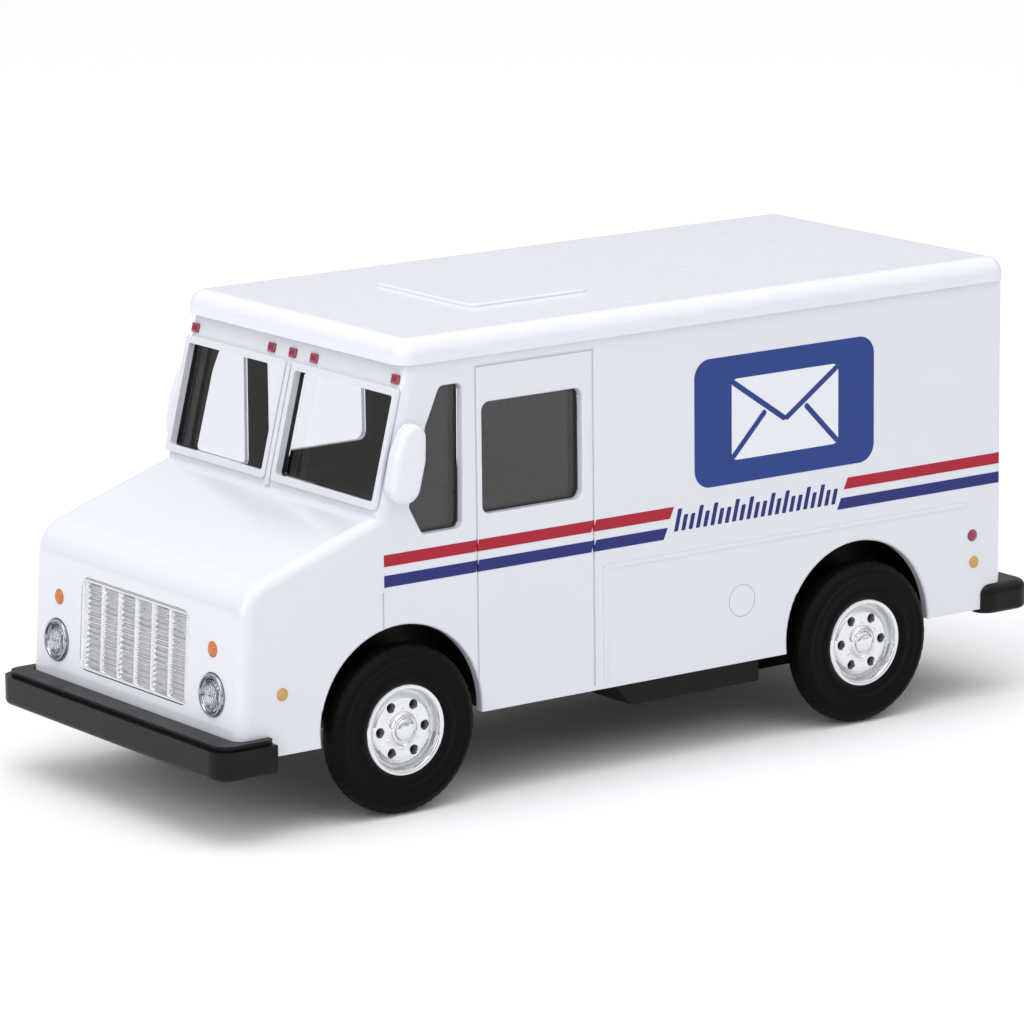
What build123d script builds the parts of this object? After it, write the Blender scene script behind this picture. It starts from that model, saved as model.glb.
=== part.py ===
from build123d import *

import math
import os

os.makedirs("parts", exist_ok=True)

# A small die-cast pull-back delivery van. Millimetres. X runs across the van (+X is its left
# side), the front faces -Y, Z is up, and the tyres stand on Z = 0 under the middle of the van.

# ---------------------------------------------------------------- driving dimensions
WHEELBASE = 72.0
FRONT_AXLE_Y = -36.2
REAR_AXLE_Y = FRONT_AXLE_Y + WHEELBASE
TYRE_R = 10.6
AXLE_Z = TYRE_R
AXLE_R = 0.8
RUN_GAP = 0.06            # radial clearance of a turning shaft in plastic

BODY_HALF_W = 23.9        # side walls, outer face
WALL = 1.3                # casting thickness
INNER_HALF_W = BODY_HALF_W - WALL
NOSE_Y = -60.2            # foot of the nose
NOSE_WALL = 2.0
NOSE_BOTTOM = 10.2
SILL_Z = 10.9
REAR_SKIRT_Z = 12.0
NOSE_LEAN = 3.7           # degrees the nose leans back
HOOD_BASE_Y = -39.5       # where the hood meets the windscreen
HOOD_BASE_Z = 37.3
HOOD_SLOPE = 18.8         # degrees
HOOD_FRONT_R = 5.0
HOOD_SIDE_R = 1.5
CAB_FRONT_Y = -39.0
SCREEN_LEAN = 14.4        # degrees the windscreen leans back
DECK_Z = 55.4             # top of the casting, under the roof cap
REAR_Y = 59.5
PILLAR_R = 1.4
EDGE_R = 0.3              # soft cast edge round the openings
REAR_CORNER_R = 1.2

FRONT_ARCH_Y = -36.3
FRONT_ARCH_Z = 11.7
FRONT_ARCH_R = 11.9
REAR_ARCH_Y = 35.1
REAR_ARCH_Z = 12.3
REAR_ARCH_R = 11.7

ROOF_HALF_W = 24.3
ROOF_FRONT_Y = -36.0
ROOF_REAR_Y = 60.0
ROOF_TOP_Z = 58.4
PAD_TOP_Z = 58.8

GLASS_T = 0.8             # side panes
SCREEN_GLASS_T = 1.4      # windscreen moulding
GLASS_RECESS = 1.0        # side panes sit this far behind the outer skin
GLASS_FIT = 0.06

SEAM_W = 0.3
SEAM_DEPTH = 0.18
SEAM_TOP_Z = 54.1
SEAM_FOOT_Z = 11.7
FENDER_SEAM = (-38.9, 22.8, 28.0)   # Y, foot and top
DOOR_SEAMS_Y = (-24.9, -7.2)
RAIL_Z = 26.4             # crease rail along the cargo side
RAIL_W = 0.5
RAIL_OUT = 0.1
RAIL_Y = (-5.5, 53.1)
RAIL_FOOT_Z = 11.85       # foot of the short upright at the rail's front end
CAP_RING = (2.12, 2.0, 0.1)   # fuel cap's ring: outer and inner radius, depth
CAP_AT = (16.1, 19.0)
REAR_DOOR_MID_Z = 34.0
REAR_DOOR_W = 35.0
REAR_DOOR_H = 38.0

CHASSIS_Z = 8.6           # underside of the base pan
CHASSIS_TOP = 12.9
BOX_BOTTOM_Z = 6.9        # underside of the motor box
BOX_FRONT_Y = -2.0
BOX_HALF_W = 13.8
PAN_HALF_W = INNER_HALF_W - 0.15

GEAR_MODULE = 0.5
AXLE_TEETH = 10
TRANSFER_TEETH = 24
PINION_TEETH = 10
DRUM_TEETH = 26
BACKLASH = 0.14           # taken off each tooth's thickness

# ---------------------------------------------------------------- derived places
LEAN = math.radians(SCREEN_LEAN)
SCREEN_TOP_Y = HOOD_BASE_Y + (DECK_Z - HOOD_BASE_Z) * math.tan(LEAN)
HOOD_TAN = math.tan(math.radians(HOOD_SLOPE))
NOSE_TAN = math.tan(math.radians(NOSE_LEAN))

MESH_1 = GEAR_MODULE * (AXLE_TEETH + TRANSFER_TEETH) / 2 + 0.05
MESH_2 = GEAR_MODULE * (PINION_TEETH + DRUM_TEETH) / 2 + 0.05
TRANSFER_Z = AXLE_Z + 4.2
TRANSFER_Y = REAR_AXLE_Y - math.sqrt(MESH_1**2 - (TRANSFER_Z - AXLE_Z) ** 2)
DRUM_Z = TRANSFER_Z
DRUM_Y = TRANSFER_Y - MESH_2

SIDES = {"left": 1, "right": -1}


def hood_z(y, inset=0.0):
    """Height of the hood's line at y, lowered by inset measured square to the sheet."""
    return HOOD_BASE_Z + (y - HOOD_BASE_Y) * HOOD_TAN - inset / math.cos(math.radians(HOOD_SLOPE))


def screen_y(z, inset=0.0):
    """Y of the windscreen plane at height z, moved back by inset square to the plane."""
    return HOOD_BASE_Y + (z - HOOD_BASE_Z) * math.tan(LEAN) + inset / math.cos(LEAN)


def nose_y(z, inset=0.0):
    """Y of the nose face at height z, moved back by inset."""
    return NOSE_Y + (z - NOSE_BOTTOM) * NOSE_TAN + inset


def nose_corner(inset):
    """Where the nose face's line crosses the hood's line, both moved in by inset."""
    hood_at_zero = hood_z(0, inset)
    y = (NOSE_Y + inset + (hood_at_zero - NOSE_BOTTOM) * NOSE_TAN) / (1 - HOOD_TAN * NOSE_TAN)
    return (y, hood_z(y, inset))


SCREEN_PLANE = Plane(
    origin=(0, HOOD_BASE_Y, HOOD_BASE_Z), x_dir=(1, 0, 0), z_dir=(0, -math.cos(LEAN), math.sin(LEAN))
)
NOSE_PLANE = Plane(
    origin=(0, NOSE_Y, NOSE_BOTTOM),
    x_dir=(1, 0, 0),
    z_dir=(0, -math.cos(math.radians(NOSE_LEAN)), math.sin(math.radians(NOSE_LEAN))),
)


def side_plane(side, x):
    """A plane square to X at distance x on one side, facing outwards; local Y is up."""
    return Plane(origin=(side * x, 0, 0), x_dir=(0, side, 0), z_dir=(side, 0, 0))


def axle_plane(y, z):
    """A plane through an axle: local X along the axle, local Y up."""
    return Plane(origin=(0, y, z), x_dir=(1, 0, 0), z_dir=(0, -1, 0))


def axle_axis(y, z):
    return Axis((0, y, z), (1, 0, 0))


# ---------------------------------------------------------------- body shell
# Window outlines, as (y, z) corners on the left side wall.
DOOR_WINDOW = ((-23.9, 35.6), (-8.8, 35.6), (-8.8, 49.5), (-23.9, 49.5))
QUARTER_WINDOW = ((-32.9, 34.4), (-27.0, 34.4), (-26.8, 52.3), (-30.1, 52.3), (-32.2, 47.6), (-34.8, 38.0))
WINDOW_CORNER_R = 1.1
QUARTER_CORNER_R = 0.9

SCREEN_PANE_X = (1.55, 22.6)
SCREEN_PANE_V = (1.75, 14.75)      # measured up the windscreen plane from its base
SCREEN_PANE_R = 0.35
FRAME_OUT = 0.4                    # how proud the pane frames stand
FRAME_BORDER = 0.95

GRILLE_HALF_W = 12.4
GRILLE_V = (4.6, 16.4)             # measured up the nose face
GRILLE_R = 1.6
POCKET_DEPTH = 0.9
LIGHT_X = 17.85
LIGHT_V = 7.25
LIGHT_R = 2.75
TURN_X = 17.6
TURN_V = 12.75
TURN_R = 1.0
TURN_OUT = 0.8
TURN_DOME_R = 0.55
PEG_R = 0.9
GRILLE_PEG_X = 8.0

LAMP_X = (-22.2, -4.7, 0.0, 4.7, 22.2)
LAMP_V = 16.75
LAMP_W = 1.6
LAMP_H = 1.35
LAMP_OUT = 0.35

SIDE_MARKERS = ((-53.7, 17.7), (54.6, 18.5))
REAR_REDS = ((54.3, 22.1),)
SIDE_MARKER_R = 0.8

POST_R = 2.5
SCREW_R = 1.0
FRONT_POST_Y = -51.5
REAR_POST_Y = 53.0
REAR_POST_TOP = 34.0
ROOF_PEGS = ((-17.0, -24.0), (17.0, -24.0), (-17.0, 48.0), (17.0, 48.0))
ROOF_PEG_R = 1.0


def side_outline(points, grow, radius):
    """A closed outline of corners (y, z) on the left wall, grown by grow, with rounded corners."""
    with BuildSketch(Plane.XY) as outline:
        with BuildLine():
            Polyline(*points, close=True)
        make_face()
        if grow:
            offset(amount=grow, kind=Kind.INTERSECTION)
        fillet(outline.vertices(), radius)
    return outline.sketch


with BuildPart() as hood_block:
    corner = nose_corner(0)
    with BuildSketch(Plane.YZ) as hood_side:
        with BuildLine():
            Polyline(
                (NOSE_Y, NOSE_BOTTOM), corner, (CAB_FRONT_Y + 4, hood_z(CAB_FRONT_Y + 4)),
                (CAB_FRONT_Y + 4, NOSE_BOTTOM), close=True,
            )
        make_face()
        fillet(hood_side.vertices().sort_by(Axis.X)[1], HOOD_FRONT_R)
    extrude(amount=BODY_HALF_W, both=True)
    rounded = [
        e for e in hood_block.edges()
        if abs(abs(e.center().X) - BODY_HALF_W) < 0.01
        and e.center().Z > NOSE_BOTTOM + 1
        and e.center().Y < CAB_FRONT_Y + 3.9
    ]
    fillet(rounded, HOOD_SIDE_R)

with BuildPart() as cab_block:
    with BuildSketch(Plane.YZ):
        with BuildLine():
            Polyline(
                (CAB_FRONT_Y, SILL_Z), (CAB_FRONT_Y, hood_z(CAB_FRONT_Y) - 3),
                (HOOD_BASE_Y, HOOD_BASE_Z), (SCREEN_TOP_Y, DECK_Z), (REAR_Y, DECK_Z),
                (REAR_Y, REAR_SKIRT_Z), (REAR_ARCH_Y, REAR_SKIRT_Z), (REAR_ARCH_Y, SILL_Z), close=True,
            )
        make_face()
    extrude(amount=BODY_HALF_W, both=True)
    pillars = [
        e for e in cab_block.edges()
        if abs(abs(e.center().X) - BODY_HALF_W) < 0.01 and e.center().Y < CAB_FRONT_Y + 3
        and e.center().Z > SILL_Z + 1
    ]
    fillet(pillars, PILLAR_R)
    corners = [
        e for e in cab_block.edges()
        if abs(abs(e.center().X) - BODY_HALF_W) < 0.01 and abs(e.center().Y - REAR_Y) < 0.01
        and e.center().Z > REAR_SKIRT_Z + 1
    ]
    fillet(corners, REAR_CORNER_R)

with BuildPart() as cavity:
    inner_corner = nose_corner(NOSE_WALL)
    with BuildSketch(Plane.YZ):
        with BuildLine():
            Polyline(
                (nose_y(0, NOSE_WALL), 0), inner_corner, (-36, hood_z(-36, NOSE_WALL)), (-36, 0), close=True,
            )
        make_face()
    extrude(amount=INNER_HALF_W, both=True)
    with BuildSketch(Plane.YZ):
        with BuildLine():
            Polyline(
                (screen_y(HOOD_BASE_Z - 4, WALL), 0), (screen_y(HOOD_BASE_Z - 4, WALL), HOOD_BASE_Z - 4),
                (screen_y(DECK_Z - WALL, WALL), DECK_Z - WALL), (REAR_Y - WALL, DECK_Z - WALL),
                (REAR_Y - WALL, 0), close=True,
            )
        make_face()
    extrude(amount=INNER_HALF_W, both=True)

with BuildPart() as body_shell:
    add(hood_block.part)
    add(cab_block.part)
    # raised frames round the two windscreen panes, and the centre pillar's round rib
    with BuildSketch(SCREEN_PLANE):
        for side in (-1, 1):
            mid_x = side * (SCREEN_PANE_X[0] + SCREEN_PANE_X[1]) / 2
            mid_v = (SCREEN_PANE_V[0] + SCREEN_PANE_V[1]) / 2
            with Locations((mid_x, mid_v)):
                RectangleRounded(
                    SCREEN_PANE_X[1] - SCREEN_PANE_X[0] + 2 * FRAME_BORDER * 0.9,
                    SCREEN_PANE_V[1] - SCREEN_PANE_V[0] + 2 * FRAME_BORDER, 0.6,
                )
    extrude(amount=FRAME_OUT)
    with BuildSketch(SCREEN_PLANE.offset(FRAME_OUT)):
        with Locations((0, (DECK_Z - HOOD_BASE_Z) / 2 / math.cos(LEAN) - 1.6)):
            Rectangle(0.8, (DECK_Z - HOOD_BASE_Z) / math.cos(LEAN) - 3.6)
    extrude(amount=-FRAME_OUT - 0.2)
    # crease rail along the cargo side and the short upright where it starts
    for side in (-1, 1):
        with BuildSketch(side_plane(side, BODY_HALF_W - 0.2)):
            with Locations((side * sum(RAIL_Y) / 2, RAIL_Z)):
                Rectangle(RAIL_Y[1] - RAIL_Y[0], RAIL_W)
            with Locations((side * RAIL_Y[0], (RAIL_FOOT_Z + RAIL_Z) / 2)):
                Rectangle(RAIL_W, RAIL_Z - RAIL_FOOT_Z)
        extrude(amount=0.2 + RAIL_OUT)
    add(cavity.part, mode=Mode.SUBTRACT)
    # wheel arches, cut through both side walls
    with BuildSketch(Plane.YZ.offset(BODY_HALF_W + 1)):
        with Locations((FRONT_ARCH_Y, FRONT_ARCH_Z)):
            Circle(FRONT_ARCH_R)
        with Locations((REAR_ARCH_Y, REAR_ARCH_Z)):
            Circle(REAR_ARCH_R)
    extrude(amount=-2 * BODY_HALF_W - 2, mode=Mode.SUBTRACT)
    # windscreen openings
    with BuildSketch(SCREEN_PLANE.offset(2)):
        for side in (-1, 1):
            with Locations((
                side * (SCREEN_PANE_X[0] + SCREEN_PANE_X[1]) / 2,
                (SCREEN_PANE_V[0] + SCREEN_PANE_V[1]) / 2,
            )):
                RectangleRounded(
                    SCREEN_PANE_X[1] - SCREEN_PANE_X[0], SCREEN_PANE_V[1] - SCREEN_PANE_V[0], SCREEN_PANE_R
                )
    extrude(amount=-4.5, mode=Mode.SUBTRACT)
    # door and quarter windows, through both walls
    with BuildSketch(Plane.YZ.offset(BODY_HALF_W + 1)):
        add(side_outline(DOOR_WINDOW, 0, WINDOW_CORNER_R))
        add(side_outline(QUARTER_WINDOW, 0, QUARTER_CORNER_R))
    extrude(amount=-2 * BODY_HALF_W - 2, mode=Mode.SUBTRACT)
    # soft cast edges round the side windows, the arches and the pane frames
    window_edges = [
        e for e in body_shell.edges()
        if abs(abs(e.center().X) - BODY_HALF_W) < 0.01 and -36 < e.center().Y < -8 and 34 < e.center().Z < 53
    ]
    fillet(window_edges, EDGE_R)
    arch_edges = [
        e for e in body_shell.edges().filter_by(GeomType.CIRCLE)
        if abs(abs(e.center().X) - BODY_HALF_W) < 0.01 and e.radius > FRONT_ARCH_R - 1
    ]
    fillet(arch_edges, EDGE_R)
    # grille opening, through the nose wall
    grille_mid_v = (GRILLE_V[0] + GRILLE_V[1]) / 2
    grille_h = GRILLE_V[1] - GRILLE_V[0]
    with BuildSketch(NOSE_PLANE.offset(1)):
        with Locations((0, grille_mid_v)):
            RectangleRounded(2 * GRILLE_HALF_W, grille_h, GRILLE_R)
    extrude(amount=-1 - POCKET_DEPTH, mode=Mode.SUBTRACT)
    # headlight pockets with peg holes, turn lamp sockets, grille peg holes
    with BuildSketch(NOSE_PLANE.offset(1)):
        with Locations((-LIGHT_X, LIGHT_V), (LIGHT_X, LIGHT_V)):
            Circle(LIGHT_R)
    extrude(amount=-1 - POCKET_DEPTH, mode=Mode.SUBTRACT)
    with BuildSketch(NOSE_PLANE.offset(1)):
        with Locations((-LIGHT_X, LIGHT_V), (LIGHT_X, LIGHT_V)):
            Circle(PEG_R)
        with Locations((-TURN_X, TURN_V), (TURN_X, TURN_V)):
            Circle(TURN_R * 0.7)
        with Locations((-GRILLE_PEG_X, grille_mid_v), (GRILLE_PEG_X, grille_mid_v)):
            Circle(PEG_R)
    extrude(amount=-1 - 2 * NOSE_WALL, mode=Mode.SUBTRACT)
    # clearance lamp sockets in the header
    with BuildSketch(SCREEN_PLANE.offset(1)):
        with Locations(*[(x, LAMP_V) for x in LAMP_X]):
            Rectangle(LAMP_W * 0.6, LAMP_H * 0.6)
    extrude(amount=-1 - WALL * 0.6, mode=Mode.SUBTRACT)
    # side marker sockets and the fuel cap's ring
    with BuildSketch(Plane.YZ.offset(BODY_HALF_W + 1)):
        with Locations(*SIDE_MARKERS, *REAR_REDS):
            Circle(SIDE_MARKER_R * 0.6)
    extrude(amount=-2 * BODY_HALF_W - 2, mode=Mode.SUBTRACT)
    with BuildSketch(side_plane(1, BODY_HALF_W)):
        with Locations(CAP_AT):
            Circle(CAP_RING[0])
            Circle(CAP_RING[1], mode=Mode.SUBTRACT)
    extrude(amount=-CAP_RING[2], mode=Mode.SUBTRACT)
    # door seams on both sides, and the fender seam
    for side in (-1, 1):
        with BuildSketch(side_plane(side, BODY_HALF_W)):
            with Locations(*[(side * y, (SEAM_FOOT_Z + SEAM_TOP_Z) / 2) for y in DOOR_SEAMS_Y]):
                Rectangle(SEAM_W, SEAM_TOP_Z - SEAM_FOOT_Z + SEAM_W)
            with Locations((side * sum(DOOR_SEAMS_Y) / 2, SEAM_TOP_Z)):
                Rectangle(DOOR_SEAMS_Y[1] - DOOR_SEAMS_Y[0] + SEAM_W, SEAM_W)
            with Locations((side * FENDER_SEAM[0], (FENDER_SEAM[1] + FENDER_SEAM[2]) / 2)):
                Rectangle(SEAM_W, FENDER_SEAM[2] - FENDER_SEAM[1])
        extrude(amount=-SEAM_DEPTH, mode=Mode.SUBTRACT)
    # rear double door: two leaves outlined by seams
    with BuildSketch(Plane(origin=(0, REAR_Y, 0), x_dir=(-1, 0, 0), z_dir=(0, 1, 0))):
        with Locations((0, REAR_DOOR_MID_Z)):
            RectangleRounded(REAR_DOOR_W, REAR_DOOR_H, 1.5)
            RectangleRounded(REAR_DOOR_W - 2 * SEAM_W, REAR_DOOR_H - 2 * SEAM_W, 1.2, mode=Mode.SUBTRACT)
            Rectangle(SEAM_W, REAR_DOOR_H - 0.5)
    extrude(amount=-SEAM_DEPTH, mode=Mode.SUBTRACT)
    # rear door handle boss and hinge bosses, cast on
    with BuildSketch(Plane(origin=(0, REAR_Y - 0.1, 0), x_dir=(-1, 0, 0), z_dir=(0, 1, 0))):
        with Locations((2.6, 30.0)):
            SlotOverall(4.0, 1.2)
        for door_side in (-1, 1):
            for hinge_z in (20.0, 34.0, 48.0):
                with Locations((door_side * 18.2, hinge_z)):
                    Rectangle(2.4, 1.4)
    extrude(amount=0.5)
    # holes in the roof deck for the roof cap's pegs
    with BuildSketch(Plane.XY.offset(DECK_Z)):
        with Locations(*ROOF_PEGS):
            Circle(ROOF_PEG_R + 0.02)
    extrude(amount=-WALL, mode=Mode.SUBTRACT)
    # two screw posts that the base pan is screwed to
    with BuildSketch(Plane.XY.offset(CHASSIS_TOP)):
        with Locations((0, FRONT_POST_Y)):
            Circle(POST_R)
    extrude(until=Until.NEXT, target=body_shell.part)
    with BuildSketch(Plane.XY.offset(CHASSIS_TOP)):
        with Locations((0, REAR_POST_Y)):
            Circle(POST_R)
        with Locations((0, (REAR_POST_Y + REAR_Y - WALL / 2) / 2)):
            Rectangle(2.0, REAR_Y - WALL / 2 - REAR_POST_Y)
    extrude(amount=REAR_POST_TOP - CHASSIS_TOP)
    with BuildSketch(Plane.XY.offset(CHASSIS_TOP)):
        with Locations((0, FRONT_POST_Y), (0, REAR_POST_Y)):
            Circle(SCREW_R)
    extrude(amount=8, mode=Mode.SUBTRACT)
body_shell.part.label = "body_shell"
print("body_shell", body_shell.part.is_valid, len(body_shell.solids()), round(body_shell.part.volume))
export_step(body_shell.part, "parts/body_shell.step")

# ---------------------------------------------------------------- roof cap
ROOF_CORNER_R = 2.4
ROOF_EDGE_R = 2.2
ROOF_WALL = 1.1
PAD_EDGE_R = 0.25
PAD_HALF_W = 10.6
PAD_FRONT_Y = -16.0
PAD_REAR_Y = 2.4
ROOF_MID_Y = (ROOF_FRONT_Y + ROOF_REAR_Y) / 2
ROOF_LENGTH = ROOF_REAR_Y - ROOF_FRONT_Y

with BuildPart() as roof_cap:
    with BuildSketch(Plane.XY.offset(DECK_Z)):
        with Locations((0, ROOF_MID_Y)):
            RectangleRounded(2 * ROOF_HALF_W, ROOF_LENGTH, ROOF_CORNER_R)
    extrude(amount=ROOF_TOP_Z - DECK_Z)
    fillet(roof_cap.faces().sort_by(Axis.Z)[-1].edges(), ROOF_EDGE_R)
    with BuildSketch(Plane.XY.offset(ROOF_TOP_Z - 0.5)):
        with Locations((0, (PAD_FRONT_Y + PAD_REAR_Y) / 2)):
            RectangleRounded(2 * PAD_HALF_W, PAD_REAR_Y - PAD_FRONT_Y, 1.2)
    extrude(amount=PAD_TOP_Z - ROOF_TOP_Z + 0.5)
    fillet(roof_cap.faces().sort_by(Axis.Z)[-1].edges(), PAD_EDGE_R)
    with BuildSketch(Plane.XY.offset(DECK_Z)):
        with Locations((0, ROOF_MID_Y)):
            RectangleRounded(2 * (ROOF_HALF_W - 2.2), ROOF_LENGTH - 4.4, 1.5)
    extrude(amount=ROOF_TOP_Z - ROOF_WALL - DECK_Z, mode=Mode.SUBTRACT)
    with BuildSketch(Plane.XY.offset(DECK_Z - WALL)):
        with Locations(*ROOF_PEGS):
            Circle(ROOF_PEG_R)
    extrude(amount=ROOF_TOP_Z - DECK_Z + WALL - ROOF_WALL / 2)
roof_cap.part.label = "roof_cap"
export_step(roof_cap.part, "parts/roof_cap.step")

# ---------------------------------------------------------------- glazing
SCREEN_TRIM_V = (0.6, 16.4)
with BuildPart() as windshield_glazing:
    with BuildSketch(SCREEN_PLANE.offset(-WALL)):
        with Locations((0, sum(SCREEN_TRIM_V) / 2)):
            Rectangle(2 * (INNER_HALF_W - 0.2), SCREEN_TRIM_V[1] - SCREEN_TRIM_V[0])
    extrude(amount=-SCREEN_GLASS_T)
    with BuildSketch(SCREEN_PLANE.offset(-WALL)):
        for side in (-1, 1):
            with Locations((
                side * (SCREEN_PANE_X[0] + SCREEN_PANE_X[1]) / 2,
                (SCREEN_PANE_V[0] + SCREEN_PANE_V[1]) / 2,
            )):
                RectangleRounded(
                    SCREEN_PANE_X[1] - SCREEN_PANE_X[0] - 2 * GLASS_FIT,
                    SCREEN_PANE_V[1] - SCREEN_PANE_V[0] - 2 * GLASS_FIT, SCREEN_PANE_R - GLASS_FIT,
                )
    extrude(amount=0.2)
windshield_glazing.part.label = "windshield_glazing"
export_step(windshield_glazing.part, "parts/windshield_glazing.step")

SIDE_GLASS_TRIM = ((-34.0, 33.2), (-7.6, 33.2), (-7.6, 53.3), (-31.9, 53.3), (-35.9, 38.0))
for side_name, side in SIDES.items():
    with BuildPart() as side_glazing:
        with BuildSketch(Plane.YZ.offset(side * INNER_HALF_W)):
            with BuildLine():
                Polyline(*SIDE_GLASS_TRIM, close=True)
            make_face()
        extrude(amount=-side * GLASS_T)
        with BuildSketch(Plane.YZ.offset(side * INNER_HALF_W)):
            add(side_outline(DOOR_WINDOW, -GLASS_FIT, WINDOW_CORNER_R - GLASS_FIT))
            add(side_outline(QUARTER_WINDOW, -GLASS_FIT, QUARTER_CORNER_R - GLASS_FIT))
        extrude(amount=side * (WALL - GLASS_RECESS))
    side_glazing.part.label = f"side_glazing_{side_name}"
    export_step(side_glazing.part, f"parts/side_glazing_{side_name}.step")

# ---------------------------------------------------------------- cab tray (floor, dash, bulkhead)
TRAY_HALF_W = INNER_HALF_W - GLASS_T - 0.3
TRAY_FLOOR_Z = 30.6
BULKHEAD_Y = -5.4
DASH_Y = -36.0
with BuildPart() as cab_tray:
    with BuildSketch(Plane.YZ):
        with BuildLine():
            Polyline(
                (DASH_Y, TRAY_FLOOR_Z - 1), (DASH_Y, 35.2), (DASH_Y + 0.9, 36.4), (DASH_Y + 3.2, 36.0),
                (DASH_Y + 3.8, TRAY_FLOOR_Z + 0.6), (BULKHEAD_Y, TRAY_FLOOR_Z), (BULKHEAD_Y, 53.4),
                (BULKHEAD_Y + 1.2, 53.4), (BULKHEAD_Y + 1.2, CHASSIS_TOP), (BULKHEAD_Y, CHASSIS_TOP),
                (BULKHEAD_Y, TRAY_FLOOR_Z - 1), close=True,
            )
        make_face()
    extrude(amount=TRAY_HALF_W, both=True)
    with BuildSketch(Plane.XY.offset(CHASSIS_TOP)):
        with GridLocations(20, 1, 2, 1):
            with Locations((0, -29.0)):
                Rectangle(3.0, 1.6)
    extrude(amount=TRAY_FLOOR_Z - 0.5 - CHASSIS_TOP)
cab_tray.part.label = "cab_tray"
export_step(cab_tray.part, "parts/cab_tray.step")

# ---------------------------------------------------------------- grille insert
GRILLE_GAP = 0.05
GRILLE_COLUMNS = 6
FIN_ROWS = 15
grille_w = 2 * (GRILLE_HALF_W - GRILLE_GAP)
grille_height = grille_h - 2 * GRILLE_GAP
GRILLE_RIM = 0.7
fin_pitch = (grille_height - 2 * GRILLE_RIM) / FIN_ROWS
column_pitch = (grille_w - 2 * GRILLE_RIM) / GRILLE_COLUMNS
with BuildPart() as grille_insert:
    with BuildSketch(NOSE_PLANE.offset(-POCKET_DEPTH)):
        with Locations((0, grille_mid_v)):
            RectangleRounded(grille_w, grille_height, GRILLE_R - GRILLE_GAP)
    extrude(amount=0.4)
    with BuildSketch(NOSE_PLANE.offset(-POCKET_DEPTH + 0.4)):
        with Locations((0, grille_mid_v)):
            RectangleRounded(grille_w, grille_height, GRILLE_R - GRILLE_GAP)
            RectangleRounded(
                grille_w - 2 * GRILLE_RIM, grille_height - 2 * GRILLE_RIM, GRILLE_R - GRILLE_RIM,
                mode=Mode.SUBTRACT,
            )
            with GridLocations(column_pitch, 0, GRILLE_COLUMNS - 1, 1):
                Rectangle(0.75, grille_height - GRILLE_RIM)
    extrude(amount=0.65)
    with BuildSketch(NOSE_PLANE.offset(-POCKET_DEPTH + 0.4)):
        with Locations((0, grille_mid_v)):
            with GridLocations(0, fin_pitch, 1, FIN_ROWS):
                Rectangle(grille_w - GRILLE_RIM, fin_pitch * 0.5)
    extrude(amount=0.35)
    with BuildSketch(NOSE_PLANE.offset(-POCKET_DEPTH)):
        with Locations((-GRILLE_PEG_X, grille_mid_v), (GRILLE_PEG_X, grille_mid_v)):
            Circle(PEG_R - GLASS_FIT)
    extrude(amount=-(NOSE_WALL - POCKET_DEPTH) - 0.4)
grille_insert.part.label = "grille_insert"
export_step(grille_insert.part, "parts/grille_insert.step")

# ---------------------------------------------------------------- headlights, lamps, markers
for side_name, side in SIDES.items():
    with BuildPart() as headlight:
        with BuildSketch(NOSE_PLANE.offset(-POCKET_DEPTH)):
            with Locations((side * LIGHT_X, LIGHT_V)):
                Circle(LIGHT_R - GRILLE_GAP)
        extrude(amount=POCKET_DEPTH + 0.35)
        fillet(headlight.edges().filter_by(GeomType.CIRCLE).sort_by(Axis.Y)[0], 0.3)
        with BuildSketch(NOSE_PLANE.offset(0.35)):
            with Locations((side * LIGHT_X, LIGHT_V)):
                Circle(LIGHT_R - 0.65)
        extrude(amount=-0.7, mode=Mode.SUBTRACT)
        with BuildSketch(NOSE_PLANE.offset(-POCKET_DEPTH)):
            with Locations((side * LIGHT_X, LIGHT_V)):
                Circle(PEG_R - GLASS_FIT)
        extrude(amount=-(NOSE_WALL - POCKET_DEPTH) - 0.4)
    headlight.part.label = f"headlight_{side_name}"
    export_step(headlight.part, f"parts/headlight_{side_name}.step")

    with BuildPart() as headlight_lens:
        with BuildSketch(NOSE_PLANE.offset(-0.35)):
            with Locations((side * LIGHT_X, LIGHT_V)):
                Circle(LIGHT_R - 0.7)
        extrude(amount=1.0)
        fillet(headlight_lens.edges().filter_by(GeomType.CIRCLE).sort_by(Axis.Y)[0], 0.55)
    headlight_lens.part.label = f"headlight_lens_{side_name}"
    export_step(headlight_lens.part, f"parts/headlight_lens_{side_name}.step")

with BuildPart() as turn_lamps:
    with BuildSketch(NOSE_PLANE):
        with Locations((-TURN_X, TURN_V), (TURN_X, TURN_V)):
            Circle(TURN_R)
    extrude(amount=TURN_OUT)
    turn_faces_y = nose_y(NOSE_BOTTOM + TURN_V) - TURN_OUT / 2
    fillet(turn_lamps.edges().filter_by(lambda e: e.center().Y < turn_faces_y), TURN_DOME_R)
    with BuildSketch(NOSE_PLANE):
        with Locations((-TURN_X, TURN_V), (TURN_X, TURN_V)):
            Circle(TURN_R * 0.7 - GLASS_FIT)
    extrude(amount=-NOSE_WALL - 0.2)
turn_lamps.part.label = "turn_lamps"
export_step(turn_lamps.part, "parts/turn_lamps.step")

with BuildPart() as clearance_lamps:
    with BuildSketch(SCREEN_PLANE):
        with Locations(*[(x, LAMP_V) for x in LAMP_X]):
            Rectangle(LAMP_W, LAMP_H)
    extrude(amount=LAMP_OUT)
    with BuildSketch(SCREEN_PLANE):
        with Locations(*[(x, LAMP_V) for x in LAMP_X]):
            Rectangle(LAMP_W * 0.6 - 2 * GLASS_FIT, LAMP_H * 0.6 - 2 * GLASS_FIT)
    extrude(amount=-WALL * 0.6)
clearance_lamps.part.label = "clearance_lamps"
export_step(clearance_lamps.part, "parts/clearance_lamps.step")

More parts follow.
